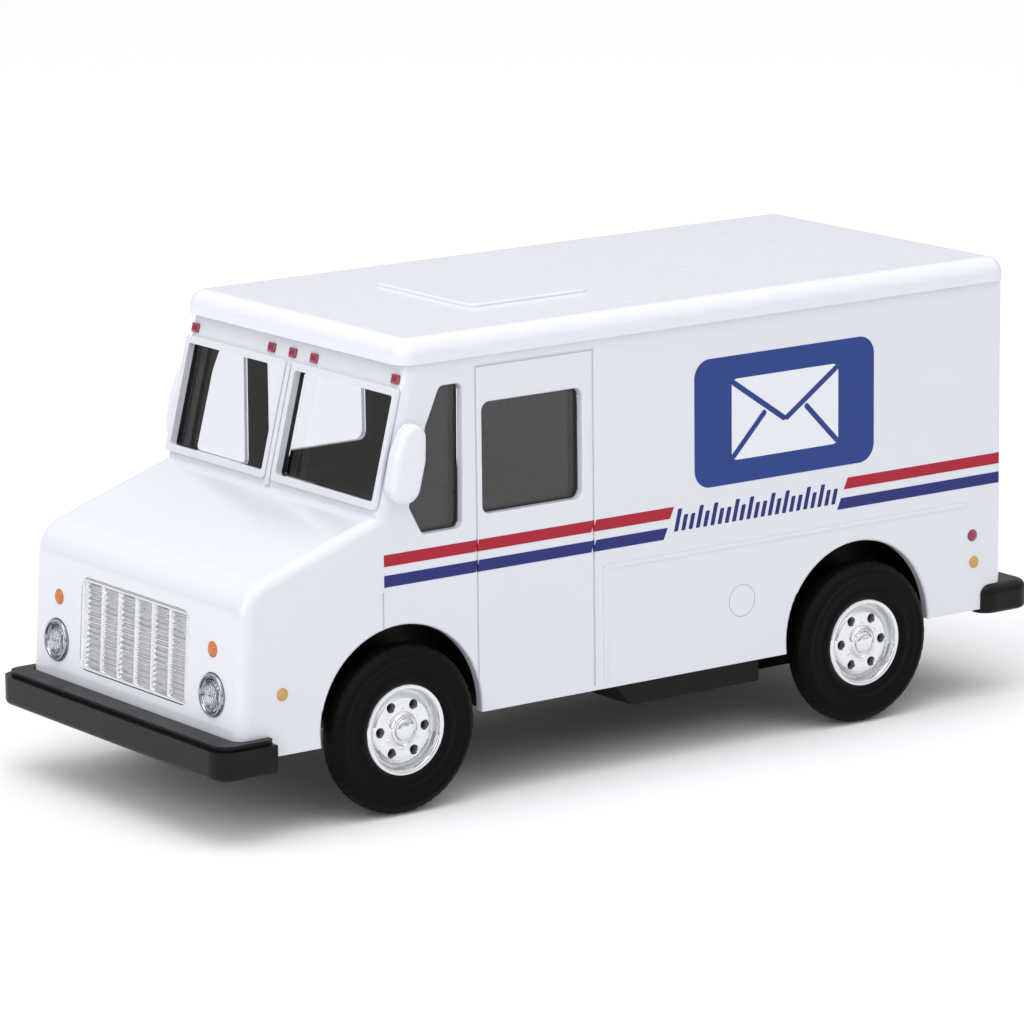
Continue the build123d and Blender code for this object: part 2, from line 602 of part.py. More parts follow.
for marker_name, places in {"side_markers": SIDE_MARKERS, "rear_side_reflectors": REAR_REDS}.items():
    with BuildPart() as markers:
        for side in (-1, 1):
            with BuildSketch(Plane.YZ.offset(side * BODY_HALF_W)):
                with Locations(*places):
                    Circle(SIDE_MARKER_R)
            extrude(amount=side * 0.35)
            with BuildSketch(Plane.YZ.offset(side * BODY_HALF_W)):
                with Locations(*places):
                    Circle(SIDE_MARKER_R * 0.6 - GLASS_FIT)
            extrude(amount=-side * WALL)
    markers.part.label = marker_name
    export_step(markers.part, f"parts/{marker_name}.step")

# ---------------------------------------------------------------- mirrors
MIRROR_T = 1.9
MIRROR_EDGE_R = 0.9
# The head's outline is the hull of three circles, (y, z) and radius, leaning with the pillar.
MIRROR_LOBES = (((-34.95, 46.6), 1.8), ((-35.55, 44.0), 2.3), ((-36.25, 40.9), 2.2))
for side_name, side in SIDES.items():
    with BuildPart() as mirror:
        with BuildSketch(Plane.YZ.offset(side * BODY_HALF_W)):
            for centre, radius in MIRROR_LOBES:
                with Locations(centre):
                    Circle(radius)
            make_hull()
        extrude(amount=side * MIRROR_T)
        outer = mirror.faces().sort_by(Axis.X)[-1 if side > 0 else 0]
        fillet(outer.edges(), MIRROR_EDGE_R)
    mirror.part.label = f"mirror_{side_name}"
    export_step(mirror.part, f"parts/mirror_{side_name}.step")

# ---------------------------------------------------------------- base pan
PAN_Z = 11.2
PAN_FRONT_Y = -57.6
PAN_REAR_Y = 57.4
WELL_HALF_W = 15.4        # the pan is this narrow between the wheels
WELL_GAP = 1.3            # round the tyre
TUB_T = 0.7
BOX_WIDE = 20.0
BOX_WIDE_REAR_Y = 21.8
BOX_REAR_Y = 44.0
FLANGE_IN_X = 19.6        # the pan's rear side flanges
FLANGE_FRONT_Y = 44.5
MOTOR_HALF_W = 7.4
MOTOR_FRONT_Y = DRUM_Y - 8.4
MOTOR_REAR_Y = REAR_AXLE_Y + 4.6
MOTOR_TOP_Z = DRUM_Z + 8.4
SADDLE_HALF_Y = 3.2
SADDLE_TOP_Z = 14.0
BUMPER_PEG_R = 1.1
FRONT_BUMPER_PEGS = ((-9.0, -55.6), (9.0, -55.6))
REAR_BUMPER_PEGS = ((-9.0, 55.4), (9.0, 55.4))

with BuildPart() as base_pan:
    with BuildSketch(Plane.XY.offset(PAN_Z)):
        with Locations((0, (PAN_FRONT_Y + PAN_REAR_Y) / 2)):
            RectangleRounded(2 * PAN_HALF_W, PAN_REAR_Y - PAN_FRONT_Y, 1.5)
    extrude(amount=CHASSIS_TOP - PAN_Z)
    # the wide motor box under the floor, chamfered at its front foot
    with BuildSketch(Plane.YZ):
        with BuildLine():
            Polyline(
                (BOX_FRONT_Y, CHASSIS_TOP), (BOX_FRONT_Y, PAN_Z - 0.5), (BOX_FRONT_Y + 3.4, BOX_BOTTOM_Z),
                (BOX_WIDE_REAR_Y, BOX_BOTTOM_Z), (BOX_WIDE_REAR_Y, CHASSIS_TOP), close=True,
            )
        make_face()
    extrude(amount=BOX_WIDE, both=True)
    # the narrower box between the rear wheels
    with BuildSketch(Plane.XY.offset(BOX_BOTTOM_Z)):
        with Locations((0, (BOX_FRONT_Y + 10 + BOX_REAR_Y) / 2)):
            Rectangle(2 * WELL_HALF_W, BOX_REAR_Y - BOX_FRONT_Y - 10)
    extrude(amount=CHASSIS_TOP - BOX_BOTTOM_Z)
    # front axle saddle
    with BuildSketch(Plane.XY.offset(CHASSIS_Z)):
        with Locations((0, FRONT_AXLE_Y)):
            Rectangle(2 * WELL_HALF_W - 0.8, 2 * SADDLE_HALF_Y)
    extrude(amount=SADDLE_TOP_Z - CHASSIS_Z)
    # round wheel tubs that close the arches off from the inside of the shell
    for arch_y, arch_z, arch_r in (
        (FRONT_ARCH_Y, FRONT_ARCH_Z, FRONT_ARCH_R), (REAR_ARCH_Y, REAR_ARCH_Z, REAR_ARCH_R),
    ):
        for side in (-1, 1):
            with BuildSketch(Plane.YZ.offset(side * WELL_HALF_W)):
                with Locations((arch_y, arch_z)):
                    Circle(arch_r + 0.3 + TUB_T)
                with Locations((arch_y, PAN_Z - 50)):
                    Rectangle(60, 100, mode=Mode.SUBTRACT)
            extrude(amount=side * (PAN_HALF_W - WELL_HALF_W))
    for arch_y, arch_z, arch_r in (
        (FRONT_ARCH_Y, FRONT_ARCH_Z, FRONT_ARCH_R), (REAR_ARCH_Y, REAR_ARCH_Z, REAR_ARCH_R),
    ):
        for side in (-1, 1):
            with BuildSketch(Plane.YZ.offset(side * (WELL_HALF_W + TUB_T))):
                with Locations((arch_y, arch_z)):
                    Circle(arch_r + 0.3)
            extrude(amount=side * (PAN_HALF_W - WELL_HALF_W + 2), mode=Mode.SUBTRACT)
    # opening that the motor drops into, and slots for the rear axle
    with BuildSketch(Plane.XY.offset(BOX_BOTTOM_Z)):
        with Locations((0, (MOTOR_FRONT_Y + MOTOR_REAR_Y) / 2)):
            Rectangle(2 * MOTOR_HALF_W + 0.3, MOTOR_REAR_Y - MOTOR_FRONT_Y + 0.3)
    extrude(amount=CHASSIS_TOP - BOX_BOTTOM_Z, mode=Mode.SUBTRACT)
    with BuildSketch(Plane.YZ.offset(-WELL_HALF_W - 2)):
        with Locations((REAR_AXLE_Y, AXLE_Z)):
            Circle(AXLE_R + 0.45)
        with Locations((REAR_AXLE_Y, AXLE_Z + 4)):
            Rectangle(2 * AXLE_R + 0.9, 8)
    extrude(amount=2 * WELL_HALF_W + 4, mode=Mode.SUBTRACT)
    # front axle bore
    with BuildSketch(Plane.YZ.offset(-WELL_HALF_W - 1)):
        with Locations((FRONT_AXLE_Y, AXLE_Z)):
            Circle(AXLE_R + RUN_GAP)
    extrude(amount=2 * WELL_HALF_W + 2, mode=Mode.SUBTRACT)
    # screw holes with head recesses, and bumper peg holes
    with BuildSketch(Plane.XY.offset(PAN_Z)):
        with Locations((0, FRONT_POST_Y), (0, REAR_POST_Y)):
            Circle(SCREW_R + 0.2)
        with Locations(*FRONT_BUMPER_PEGS, *REAR_BUMPER_PEGS):
            Circle(BUMPER_PEG_R + 0.02)
    extrude(amount=CHASSIS_TOP - PAN_Z, mode=Mode.SUBTRACT)
    # ribs and a battery-box style grid pressed in the underside
    with BuildSketch(Plane.XY.offset(BOX_BOTTOM_Z)):
        with Locations((0, 4.6)):
            with GridLocations(7.0, 0, 5, 1):
                Rectangle(3.4, 6.0)
    extrude(amount=0.4, mode=Mode.SUBTRACT)
    # the flanges behind the rear arches stop at the skirt's height
    with BuildSketch(Plane.XY.offset(PAN_Z - 1)):
        for side in (-1, 1):
            with Locations((side * (FLANGE_IN_X + PAN_HALF_W) / 2, (FLANGE_FRONT_Y + PAN_REAR_Y) / 2)):
                Rectangle(PAN_HALF_W - FLANGE_IN_X + 0.1, PAN_REAR_Y - FLANGE_FRONT_Y + 0.1)
    extrude(amount=REAR_SKIRT_Z - PAN_Z + 1, mode=Mode.SUBTRACT)
base_pan.part.label = "base_pan"
print("base_pan", base_pan.part.is_valid, len(base_pan.solids()))
export_step(base_pan.part, "parts/base_pan.step")

with BuildPart() as chassis_screws:
    for post_y in (FRONT_POST_Y, REAR_POST_Y):
        with BuildSketch(Plane.XY.offset(PAN_Z - 0.9)):
            with Locations((0, post_y)):
                Circle(1.9)
        extrude(amount=0.9)
        with BuildSketch(Plane.XY.offset(PAN_Z)):
            with Locations((0, post_y)):
                Circle(SCREW_R - 0.02)
        extrude(amount=CHASSIS_TOP - PAN_Z + 5.5)
        with BuildSketch(Plane.XY.offset(PAN_Z - 0.9)):
            with Locations((0, post_y)):
                Rectangle(1.9, 0.4)
                Rectangle(0.4, 1.9)
        extrude(amount=0.5, mode=Mode.SUBTRACT)
chassis_screws.part.label = "chassis_screws"
export_step(chassis_screws.part, "parts/chassis_screws.step")

# ---------------------------------------------------------------- bumpers
BUMPER_HALF_W = 25.8
BUMPER_FACE_Y = 63.9
FRONT_BUMPER_Z = (8.5, 12.2, 12.8)      # foot, top of the face, top of the lip
FRONT_RETURN_Y = -55.7      # rear ends of the side returns
TONGUE_REAR_Y = -54.4       # rear end of the middle tongue that carries the pegs
TONGUE_HALF_W = 13.6        # the bumper is open outside the tongue, as far as its side returns
BUMPER_INNER_HALF_W = 23.2
BUMPER_INNER_Y = -57.9
BUMPER_CORNER_R = 2.6
BUMPER_FOOT_R = 0.7
with BuildPart() as front_bumper:
    with BuildSketch(Plane.XY.offset(FRONT_BUMPER_Z[0])):
        with Locations((0, (-BUMPER_FACE_Y + FRONT_RETURN_Y) / 2)):
            RectangleRounded(2 * BUMPER_HALF_W, BUMPER_FACE_Y + FRONT_RETURN_Y, BUMPER_CORNER_R)
            Rectangle(2 * BUMPER_HALF_W, BUMPER_FACE_Y + FRONT_RETURN_Y - 2 * BUMPER_CORNER_R)
        with Locations((0, FRONT_RETURN_Y - 2)):
            Rectangle(2 * BUMPER_HALF_W, 4)
    extrude(amount=FRONT_BUMPER_Z[1] - FRONT_BUMPER_Z[0])
    fillet(front_bumper.edges().group_by(Axis.Z)[0], BUMPER_FOOT_R)
    with BuildSketch(Plane.XY.offset(FRONT_BUMPER_Z[1] - 0.5)):
        with Locations((0, (-BUMPER_FACE_Y + 0.8 + FRONT_RETURN_Y + 0.6) / 2)):
            RectangleRounded(
                2 * BUMPER_HALF_W - 1.4, BUMPER_FACE_Y + FRONT_RETURN_Y - 0.2, BUMPER_CORNER_R - 0.7
            )
    extrude(amount=FRONT_BUMPER_Z[2] - FRONT_BUMPER_Z[1] + 0.5)
    # cleared by the body's nose, and open behind between the side returns
    with BuildSketch(Plane.XY.offset(NOSE_BOTTOM - 0.1)):
        with Locations((0, (nose_y(NOSE_BOTTOM) - 0.1 + FRONT_RETURN_Y + 5) / 2)):
            RectangleRounded(
                2 * BODY_HALF_W + 0.1, FRONT_RETURN_Y + 5 - nose_y(NOSE_BOTTOM) + 0.1, HOOD_SIDE_R
            )
    extrude(amount=5, mode=Mode.SUBTRACT)
    with BuildSketch(Plane.XY.offset(FRONT_BUMPER_Z[0] - 1)):
        with Locations((0, FRONT_RETURN_Y + 0.5)):
            Rectangle(2 * BUMPER_HALF_W + 1, 1.0)
        for side in (-1, 1):
            with Locations((side * (TONGUE_HALF_W + BUMPER_INNER_HALF_W) / 2, BUMPER_INNER_Y + 1.8)):
                Rectangle(BUMPER_INNER_HALF_W - TONGUE_HALF_W, 3.6)
    extrude(amount=8, mode=Mode.SUBTRACT)
    with BuildSketch(Plane.XY.offset(FRONT_BUMPER_Z[0] + BUMPER_FOOT_R)):
        with Locations((0, (FRONT_RETURN_Y - 2 + TONGUE_REAR_Y) / 2)):
            Rectangle(2 * TONGUE_HALF_W, TONGUE_REAR_Y - FRONT_RETURN_Y + 2)
    extrude(amount=NOSE_BOTTOM - 0.1 - FRONT_BUMPER_Z[0] - BUMPER_FOOT_R)
    with BuildSketch(Plane.XY.offset(NOSE_BOTTOM - 0.4)):
        with Locations(*FRONT_BUMPER_PEGS):
            Circle(BUMPER_PEG_R)
    extrude(amount=CHASSIS_TOP - NOSE_BOTTOM + 0.4)
front_bumper.part.label = "front_bumper"
print("front_bumper", front_bumper.part.is_valid, len(front_bumper.solids()))
export_step(front_bumper.part, "parts/front_bumper.step")

REAR_BUMPER_Z = (11.3, 15.2)
REAR_BUMPER_TOP_R = 1.3
REAR_BUMPER_HALF_W = 25.0
REAR_RETURN_Y = 55.3
REAR_TONGUE_Y = (53.9, 59.0)
REAR_TONGUE_W = 26.0
REAR_RISER_Y = PAN_REAR_Y + 0.2
with BuildPart() as rear_bumper:
    with BuildSketch(Plane.XY.offset(REAR_BUMPER_Z[0])):
        with Locations((0, (BUMPER_FACE_Y + REAR_RETURN_Y) / 2)):
            RectangleRounded(2 * REAR_BUMPER_HALF_W, BUMPER_FACE_Y - REAR_RETURN_Y, 2.4)
    extrude(amount=REAR_BUMPER_Z[1] - REAR_BUMPER_Z[0])
    fillet(rear_bumper.edges().group_by(Axis.Z)[0], BUMPER_FOOT_R)
    fillet(rear_bumper.edges().group_by(Axis.Z)[-1], REAR_BUMPER_TOP_R)
    # notched over the base pan's end and round the shell's rear wall
    with BuildSketch(Plane.XY.offset(PAN_Z - 0.05)):
        with Locations((0, PAN_REAR_Y - 5)):
            Rectangle(2 * PAN_HALF_W + 0.2, 10.2)
    extrude(amount=5, mode=Mode.SUBTRACT)
    with BuildSketch(Plane.XY.offset(REAR_SKIRT_Z - 0.1)):
        with Locations((0, (REAR_RETURN_Y - 6 + REAR_Y + 0.1) / 2)):
            RectangleRounded(2 * BODY_HALF_W + 0.1, REAR_Y + 0.1 - REAR_RETURN_Y + 6, REAR_CORNER_R)
    extrude(amount=5, mode=Mode.SUBTRACT)
    # mounting tongue under the pan, with two pegs
    with BuildSketch(Plane.XY.offset(PAN_Z - 1.4)):
        with Locations((0, sum(REAR_TONGUE_Y) / 2)):
            Rectangle(REAR_TONGUE_W, REAR_TONGUE_Y[1] - REAR_TONGUE_Y[0])
        with Locations((0, REAR_POST_Y)):
            Circle(2.2, mode=Mode.SUBTRACT)
    extrude(amount=1.35)
    with BuildSketch(Plane.XY.offset(PAN_Z - 1.4)):
        with Locations((0, (REAR_RISER_Y + REAR_TONGUE_Y[1]) / 2)):
            Rectangle(REAR_TONGUE_W, REAR_TONGUE_Y[1] - REAR_RISER_Y)
    extrude(amount=REAR_SKIRT_Z - 0.1 - PAN_Z + 1.4)
    with BuildSketch(Plane.XY.offset(PAN_Z - 0.6)):
        with Locations(*REAR_BUMPER_PEGS):
            Circle(BUMPER_PEG_R)
    extrude(amount=CHASSIS_TOP - PAN_Z + 0.6)
rear_bumper.part.label = "rear_bumper"
print("rear_bumper", rear_bumper.part.is_valid, len(rear_bumper.solids()))
export_step(rear_bumper.part, "parts/rear_bumper.step")

# ---------------------------------------------------------------- wheels and axles
TYRE_OUT_X = 24.9
TYRE_IN_X = 19.6
RIM_R = 6.3
RIM_FACE_R = 5.6
# The tyre's crown from its inner to its outer wall, as (distance from the inner wall, radius).
TYRE_CROWN = ((0, 8.6), (1.2, 9.9), (2.4, TYRE_R), (3.4, TYRE_R), (4.4, 10.35), (5.3, 9.6))
LIP_DEPTH = 1.1
HUB_R = 2.0
HUB_IN_X = 16.4
AXLE_HALF = 23.0
CAP_R = 1.5
RIM_HOLES = 6
RIM_HOLE_R = 0.62
RIM_HOLE_PCD_R = 2.75

for axle_name, wheel_y in {"front": FRONT_AXLE_Y, "rear": REAR_AXLE_Y}.items():
    with BuildPart() as axle:
        with BuildSketch(Plane.YZ.offset(-AXLE_HALF)):
            with Locations((wheel_y, AXLE_Z)):
                Circle(AXLE_R)
        extrude(amount=2 * AXLE_HALF)
        chamfer(axle.edges().filter_by(GeomType.CIRCLE), 0.2)
    axle.part.label = f"{axle_name}_axle"
    export_step(axle.part, f"parts/{axle_name}_axle.step")

    for side_name, side in SIDES.items():
        with BuildPart() as tyre:
            with BuildSketch(axle_plane(wheel_y, AXLE_Z)):
                with BuildLine():
                    Polyline(
                        (side * TYRE_IN_X, RIM_R), *[(side * (TYRE_IN_X + x), r) for x, r in TYRE_CROWN],
                        (side * TYRE_OUT_X, RIM_FACE_R + 1.0), (side * (TYRE_OUT_X - 0.6), RIM_FACE_R),
                        (side * (TYRE_OUT_X - LIP_DEPTH), RIM_FACE_R),
                        (side * (TYRE_OUT_X - LIP_DEPTH), RIM_R),
                        close=True,
                    )
                make_face()
            revolve(axis=axle_axis(wheel_y, AXLE_Z))
        tyre.part.label = f"{axle_name}_tyre_{side_name}"
        export_step(tyre.part, f"parts/{axle_name}_tyre_{side_name}.step")

        with BuildPart() as rim:
            with BuildSketch(axle_plane(wheel_y, AXLE_Z)):
                with BuildLine():
                    face_x = TYRE_OUT_X - LIP_DEPTH
                    Polyline(
                        (side * HUB_IN_X, AXLE_R), (side * HUB_IN_X, HUB_R),
                        (side * (TYRE_IN_X + 2.2), HUB_R),
                        (side * (TYRE_IN_X + 2.2), RIM_R - 1.0), (side * (TYRE_IN_X + 0.2), RIM_R - 1.0),
                        (side * (TYRE_IN_X + 0.2), RIM_R), (side * face_x, RIM_R),
                        (side * face_x, RIM_FACE_R), (side * (face_x + 0.7), RIM_FACE_R),
                        (side * (face_x + 0.7), RIM_FACE_R - 0.45),
                        (side * (face_x - 0.3), RIM_FACE_R - 0.95),
                        (side * (face_x - 0.1), 2.2), (side * (face_x + 0.5), CAP_R),
                        (side * (face_x + 0.8), 0.7), (side * (face_x + 0.9), 0), (side * AXLE_HALF, 0),
                        (side * AXLE_HALF, AXLE_R), close=True,
                    )
                make_face()
            revolve(axis=axle_axis(wheel_y, AXLE_Z))
            with BuildSketch(Plane.YZ.offset(side * (TYRE_OUT_X + 1))):
                with Locations((wheel_y, AXLE_Z)):
                    with PolarLocations(RIM_HOLE_PCD_R, RIM_HOLES):
                        Circle(RIM_HOLE_R)
            extrude(amount=-side * (LIP_DEPTH + 2.6), mode=Mode.SUBTRACT)
        rim.part.label = f"{axle_name}_rim_{side_name}"
        export_step(rim.part, f"parts/{axle_name}_rim_{side_name}.step")

# ---------------------------------------------------------------- pull-back motor
ADDENDUM = 0.8 * GEAR_MODULE
DEDENDUM = 1.15 * GEAR_MODULE
PRESSURE = math.radians(20)
FLANK_STEPS = 5
CASE_WALL = 1.0
CASE_FLOOR = 0.45
LAYER_A = (-5.0, -2.6)      # axle gear and the transfer gear's large wheel
LAYER_B = (-2.0, 0.4)       # the transfer gear's pinion and the drum's teeth
DRUM_CUP = (0.4, 5.6)
DRUM_CUP_R = 6.0
DRUM_CUP_WALL = 0.7
PIN_R = 0.75
ARBOR_R = 0.95
SPRING_T = 0.22
SPRING_X = (0.8, 5.3)
SPRING_TURNS = 7
SPRING_IN_R = 1.4


def involute_angle(radius, base_r):
    """The roll-out angle of an involute at a radius."""
    grip = math.acos(min(1.0, base_r / max(radius, base_r)))
    return math.tan(grip) - grip


def gear_outline(teeth, centre, phase):
    """Points of a spur gear's outline: each tooth has two involute flanks and flat root and tip."""
    pitch_r = GEAR_MODULE * teeth / 2
    base_r = pitch_r * math.cos(PRESSURE)
    tip_r = pitch_r + ADDENDUM
    root_r = pitch_r - DEDENDUM
    half_at_pitch = (math.pi * GEAR_MODULE / 2 - BACKLASH) / 2 / pitch_r
    half_at_base = half_at_pitch + involute_angle(pitch_r, base_r)
    start_r = max(base_r, root_r)
    radii = [start_r + (tip_r - start_r) * k / FLANK_STEPS for k in range(FLANK_STEPS + 1)]
    flank = [(r, half_at_base - involute_angle(r, base_r)) for r in radii]
    if root_r < base_r:
        flank.insert(0, (root_r, flank[0][1]))
    points = []
    for tooth in range(teeth):
        middle = phase + 2 * math.pi * tooth / teeth
        for radius, half in flank:
            points.append((radius, middle - half))
        for radius, half in reversed(flank):
            points.append((radius, middle + half))
    return [(centre[0] + r * math.cos(a), centre[1] + r * math.sin(a)) for r, a in points]


axle_centre = (REAR_AXLE_Y, AXLE_Z)
transfer_centre = (TRANSFER_Y, TRANSFER_Z)
drum_centre = (DRUM_Y, DRUM_Z)
to_transfer = math.atan2(TRANSFER_Z - AXLE_Z, TRANSFER_Y - REAR_AXLE_Y)
to_drum = math.atan2(DRUM_Z - TRANSFER_Z, DRUM_Y - TRANSFER_Y)
transfer_phase = to_transfer + math.pi + math.pi / TRANSFER_TEETH
drum_phase = to_drum + math.pi + math.pi / DRUM_TEETH

with BuildPart() as axle_gear:
    with BuildSketch(Plane.YZ.offset(LAYER_A[0])):
        with BuildLine():
            Polyline(*gear_outline(AXLE_TEETH, axle_centre, to_transfer), close=True)
        make_face()
        with Locations(axle_centre):
            Circle(AXLE_R + 0.01, mode=Mode.SUBTRACT)
    extrude(amount=LAYER_A[1] - LAYER_A[0])
axle_gear.part.label = "axle_gear"
export_step(axle_gear.part, "parts/axle_gear.step")

with BuildPart() as transfer_gear:
    with BuildSketch(Plane.YZ.offset(LAYER_A[0] + 0.2)):
        with BuildLine():
            Polyline(*gear_outline(TRANSFER_TEETH, transfer_centre, transfer_phase), close=True)
        make_face()
    extrude(amount=LAYER_A[1] - LAYER_A[0] - 0.4)
    with BuildSketch(Plane.YZ.offset(LAYER_A[1] - 0.5)):
        with BuildLine():
            Polyline(*gear_outline(PINION_TEETH, transfer_centre, to_drum), close=True)
        make_face()
    extrude(amount=LAYER_B[1] - LAYER_A[1] + 0.6)
    with BuildSketch(Plane.YZ.offset(LAYER_A[0] - 1)):
        with Locations(transfer_centre):
            Circle(PIN_R + RUN_GAP)
    extrude(amount=20, mode=Mode.SUBTRACT)
transfer_gear.part.label = "transfer_gear"
export_step(transfer_gear.part, "parts/transfer_gear.step")

with BuildPart() as spring_drum:
    with BuildSketch(Plane.YZ.offset(LAYER_B[0])):
        with BuildLine():
            Polyline(*gear_outline(DRUM_TEETH, drum_centre, drum_phase), close=True)
        make_face()
    extrude(amount=LAYER_B[1] - LAYER_B[0])
    with BuildSketch(Plane.YZ.offset(DRUM_CUP[0] - 0.1)):
        with Locations(drum_centre):
            Circle(DRUM_CUP_R)
            Circle(DRUM_CUP_R - DRUM_CUP_WALL, mode=Mode.SUBTRACT)
    extrude(amount=DRUM_CUP[1] - DRUM_CUP[0] + 0.1)
    with BuildSketch(Plane.YZ.offset(LAYER_B[0] - 1)):
        with Locations(drum_centre):
            Circle(ARBOR_R + RUN_GAP)
    extrude(amount=20, mode=Mode.SUBTRACT)
spring_drum.part.label = "spring_drum"
export_step(spring_drum.part, "parts/spring_drum.step")


# The wound mainspring: half-circle arcs about two alternating centres, growing by half a pitch.
SPRING_MID_R = SPRING_IN_R + SPRING_T / 2
SPRING_OUT_R = DRUM_CUP_R - DRUM_CUP_WALL - 0.05 - SPRING_T / 2
SPRING_PITCH = (SPRING_OUT_R - SPRING_MID_R) / SPRING_TURNS
with BuildPart() as mainspring:
    with BuildSketch(Plane.YZ.offset(SPRING_X[0])):
        with BuildLine():
            for edge in (-SPRING_T / 2, SPRING_T / 2):
                for half_turn in range(2 * SPRING_TURNS):
                    arc_centre = (DRUM_Y + SPRING_PITCH / 2 * (half_turn % 2), DRUM_Z)
                    arc_r = SPRING_MID_R + SPRING_PITCH / 2 * half_turn + edge
                    CenterArc(arc_centre, arc_r, 180 * (half_turn % 2), 180)
            for end_r in (SPRING_MID_R, SPRING_OUT_R):
                Line((DRUM_Y + end_r - SPRING_T / 2, DRUM_Z), (DRUM_Y + end_r + SPRING_T / 2, DRUM_Z))
        make_face()
    extrude(amount=SPRING_X[1] - SPRING_X[0])
mainspring.part.label = "mainspring"
print("mainspring", mainspring.part.is_valid, round(mainspring.part.volume, 2))
export_step(mainspring.part, "parts/mainspring.step")

for pin_name, pin_centre, pin_r in (
    ("transfer_pin", transfer_centre, PIN_R), ("drum_arbor", drum_centre, ARBOR_R),
):
    with BuildPart() as pin:
        with BuildSketch(Plane.YZ.offset(-MOTOR_HALF_W + 0.2)):
            with Locations(pin_centre):
                Circle(pin_r)
        extrude(amount=2 * MOTOR_HALF_W - 0.4)
    pin.part.label = pin_name
    export_step(pin.part, f"parts/{pin_name}.step")

for side_name, side in SIDES.items():
    with BuildPart() as motor_case:
        with BuildSketch(Plane.YZ):
            with Locations(((MOTOR_FRONT_Y + MOTOR_REAR_Y) / 2, (BOX_BOTTOM_Z + MOTOR_TOP_Z) / 2)):
                RectangleRounded(MOTOR_REAR_Y - MOTOR_FRONT_Y, MOTOR_TOP_Z - BOX_BOTTOM_Z, 1.2)
        extrude(amount=side * MOTOR_HALF_W)
        with BuildSketch(Plane.YZ):
            with Locations((
                (MOTOR_FRONT_Y + MOTOR_REAR_Y) / 2,
                (BOX_BOTTOM_Z + CASE_FLOOR + MOTOR_TOP_Z - CASE_WALL) / 2,
            )):
                Rectangle(
                    MOTOR_REAR_Y - MOTOR_FRONT_Y - 2 * CASE_WALL,
                    MOTOR_TOP_Z - CASE_WALL - BOX_BOTTOM_Z - CASE_FLOOR,
                )
        extrude(amount=side * (MOTOR_HALF_W - CASE_WALL), mode=Mode.SUBTRACT)
        with BuildSketch(Plane.YZ):
            with Locations(axle_centre):
                Circle(AXLE_R + RUN_GAP)
            with Locations(transfer_centre):
                Circle(PIN_R + 0.02)
            with Locations(drum_centre):
                Circle(ARBOR_R + 0.02)
        extrude(amount=side * MOTOR_HALF_W, mode=Mode.SUBTRACT)
    motor_case.part.label = f"motor_case_{side_name}"
    export_step(motor_case.part, f"parts/motor_case_{side_name}.step")
print("mesh distances", round(MESH_1, 3), round(MESH_2, 3), round(TRANSFER_Y, 2), round(DRUM_Y, 2))
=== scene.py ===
"""Finishes and fine detail of a small die-cast pull-back delivery van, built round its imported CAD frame.

The file is laid out as an add-on: sizes and colours are properties, each group of like pieces has
an operator, and the panel lists them. Lengths are metres, X runs across the van (+X is its left
side), the nose faces -Y and Z is up.
"""

import math

import bpy
import numpy as np
from bpy.props import FloatProperty, FloatVectorProperty, IntProperty, PointerProperty
from mathutils import Matrix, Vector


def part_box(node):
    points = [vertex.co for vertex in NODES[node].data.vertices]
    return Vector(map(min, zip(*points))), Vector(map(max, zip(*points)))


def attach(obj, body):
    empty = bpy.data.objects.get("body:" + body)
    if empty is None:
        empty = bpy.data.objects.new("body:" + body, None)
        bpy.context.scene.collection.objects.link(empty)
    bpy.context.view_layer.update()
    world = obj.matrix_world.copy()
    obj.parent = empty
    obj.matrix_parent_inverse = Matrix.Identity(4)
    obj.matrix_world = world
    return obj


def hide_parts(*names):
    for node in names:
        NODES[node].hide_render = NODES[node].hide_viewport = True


bl_info = {
    "name": "Die-cast delivery van",
    "version": (1, 0, 0),
    "blender": (4, 5, 0),
    "location": "View3D > Sidebar > Van",
    "description": "Builds the wheels, lamps, grille, livery and finishes of a toy delivery van",
    "category": "Object",
}

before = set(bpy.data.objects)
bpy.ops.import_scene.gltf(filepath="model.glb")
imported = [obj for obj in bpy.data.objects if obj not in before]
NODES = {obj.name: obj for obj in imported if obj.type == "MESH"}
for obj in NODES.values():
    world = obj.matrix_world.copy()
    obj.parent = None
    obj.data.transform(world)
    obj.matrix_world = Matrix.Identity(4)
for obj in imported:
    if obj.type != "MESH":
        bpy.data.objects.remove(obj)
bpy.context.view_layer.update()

MM = 0.001
TAU = 2 * math.pi
SIDES = {"left": 1, "right": -1}
AXLES = ("front", "rear")
TRUCK = "truck"

# Leans of the nose and of the windscreen, as in the CAD model.
NOSE_LEAN = math.radians(3.7)
SCREEN_LEAN = math.radians(14.4)

# The side wall's outer face, which the mirrors stand on.
WALL_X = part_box("mirror_left")[0].x
NOSE_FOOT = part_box("body_shell")[0]
REAR_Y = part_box("body_shell")[1].y


def linear(code):
    """An sRGB hex colour as three linear values."""
    values = [int(code[i:i + 2], 16) / 255 for i in (1, 3, 5)]
    return tuple(v / 12.92 if v <= 0.04045 else ((v + 0.055) / 1.055) ** 2.4 for v in values)


def colour(name, description, code):
    """A colour property whose default is an sRGB hex value."""
    return FloatVectorProperty(
        name=name, description=description, subtype="COLOR", size=3, min=0, max=1, default=linear(code)
    )


def length(name, description, millimetres):
    """A length property whose default is given in millimetres."""
    return FloatProperty(
        name=name, description=description, unit="LENGTH", subtype="DISTANCE", precision=5,
        default=millimetres * MM,
    )


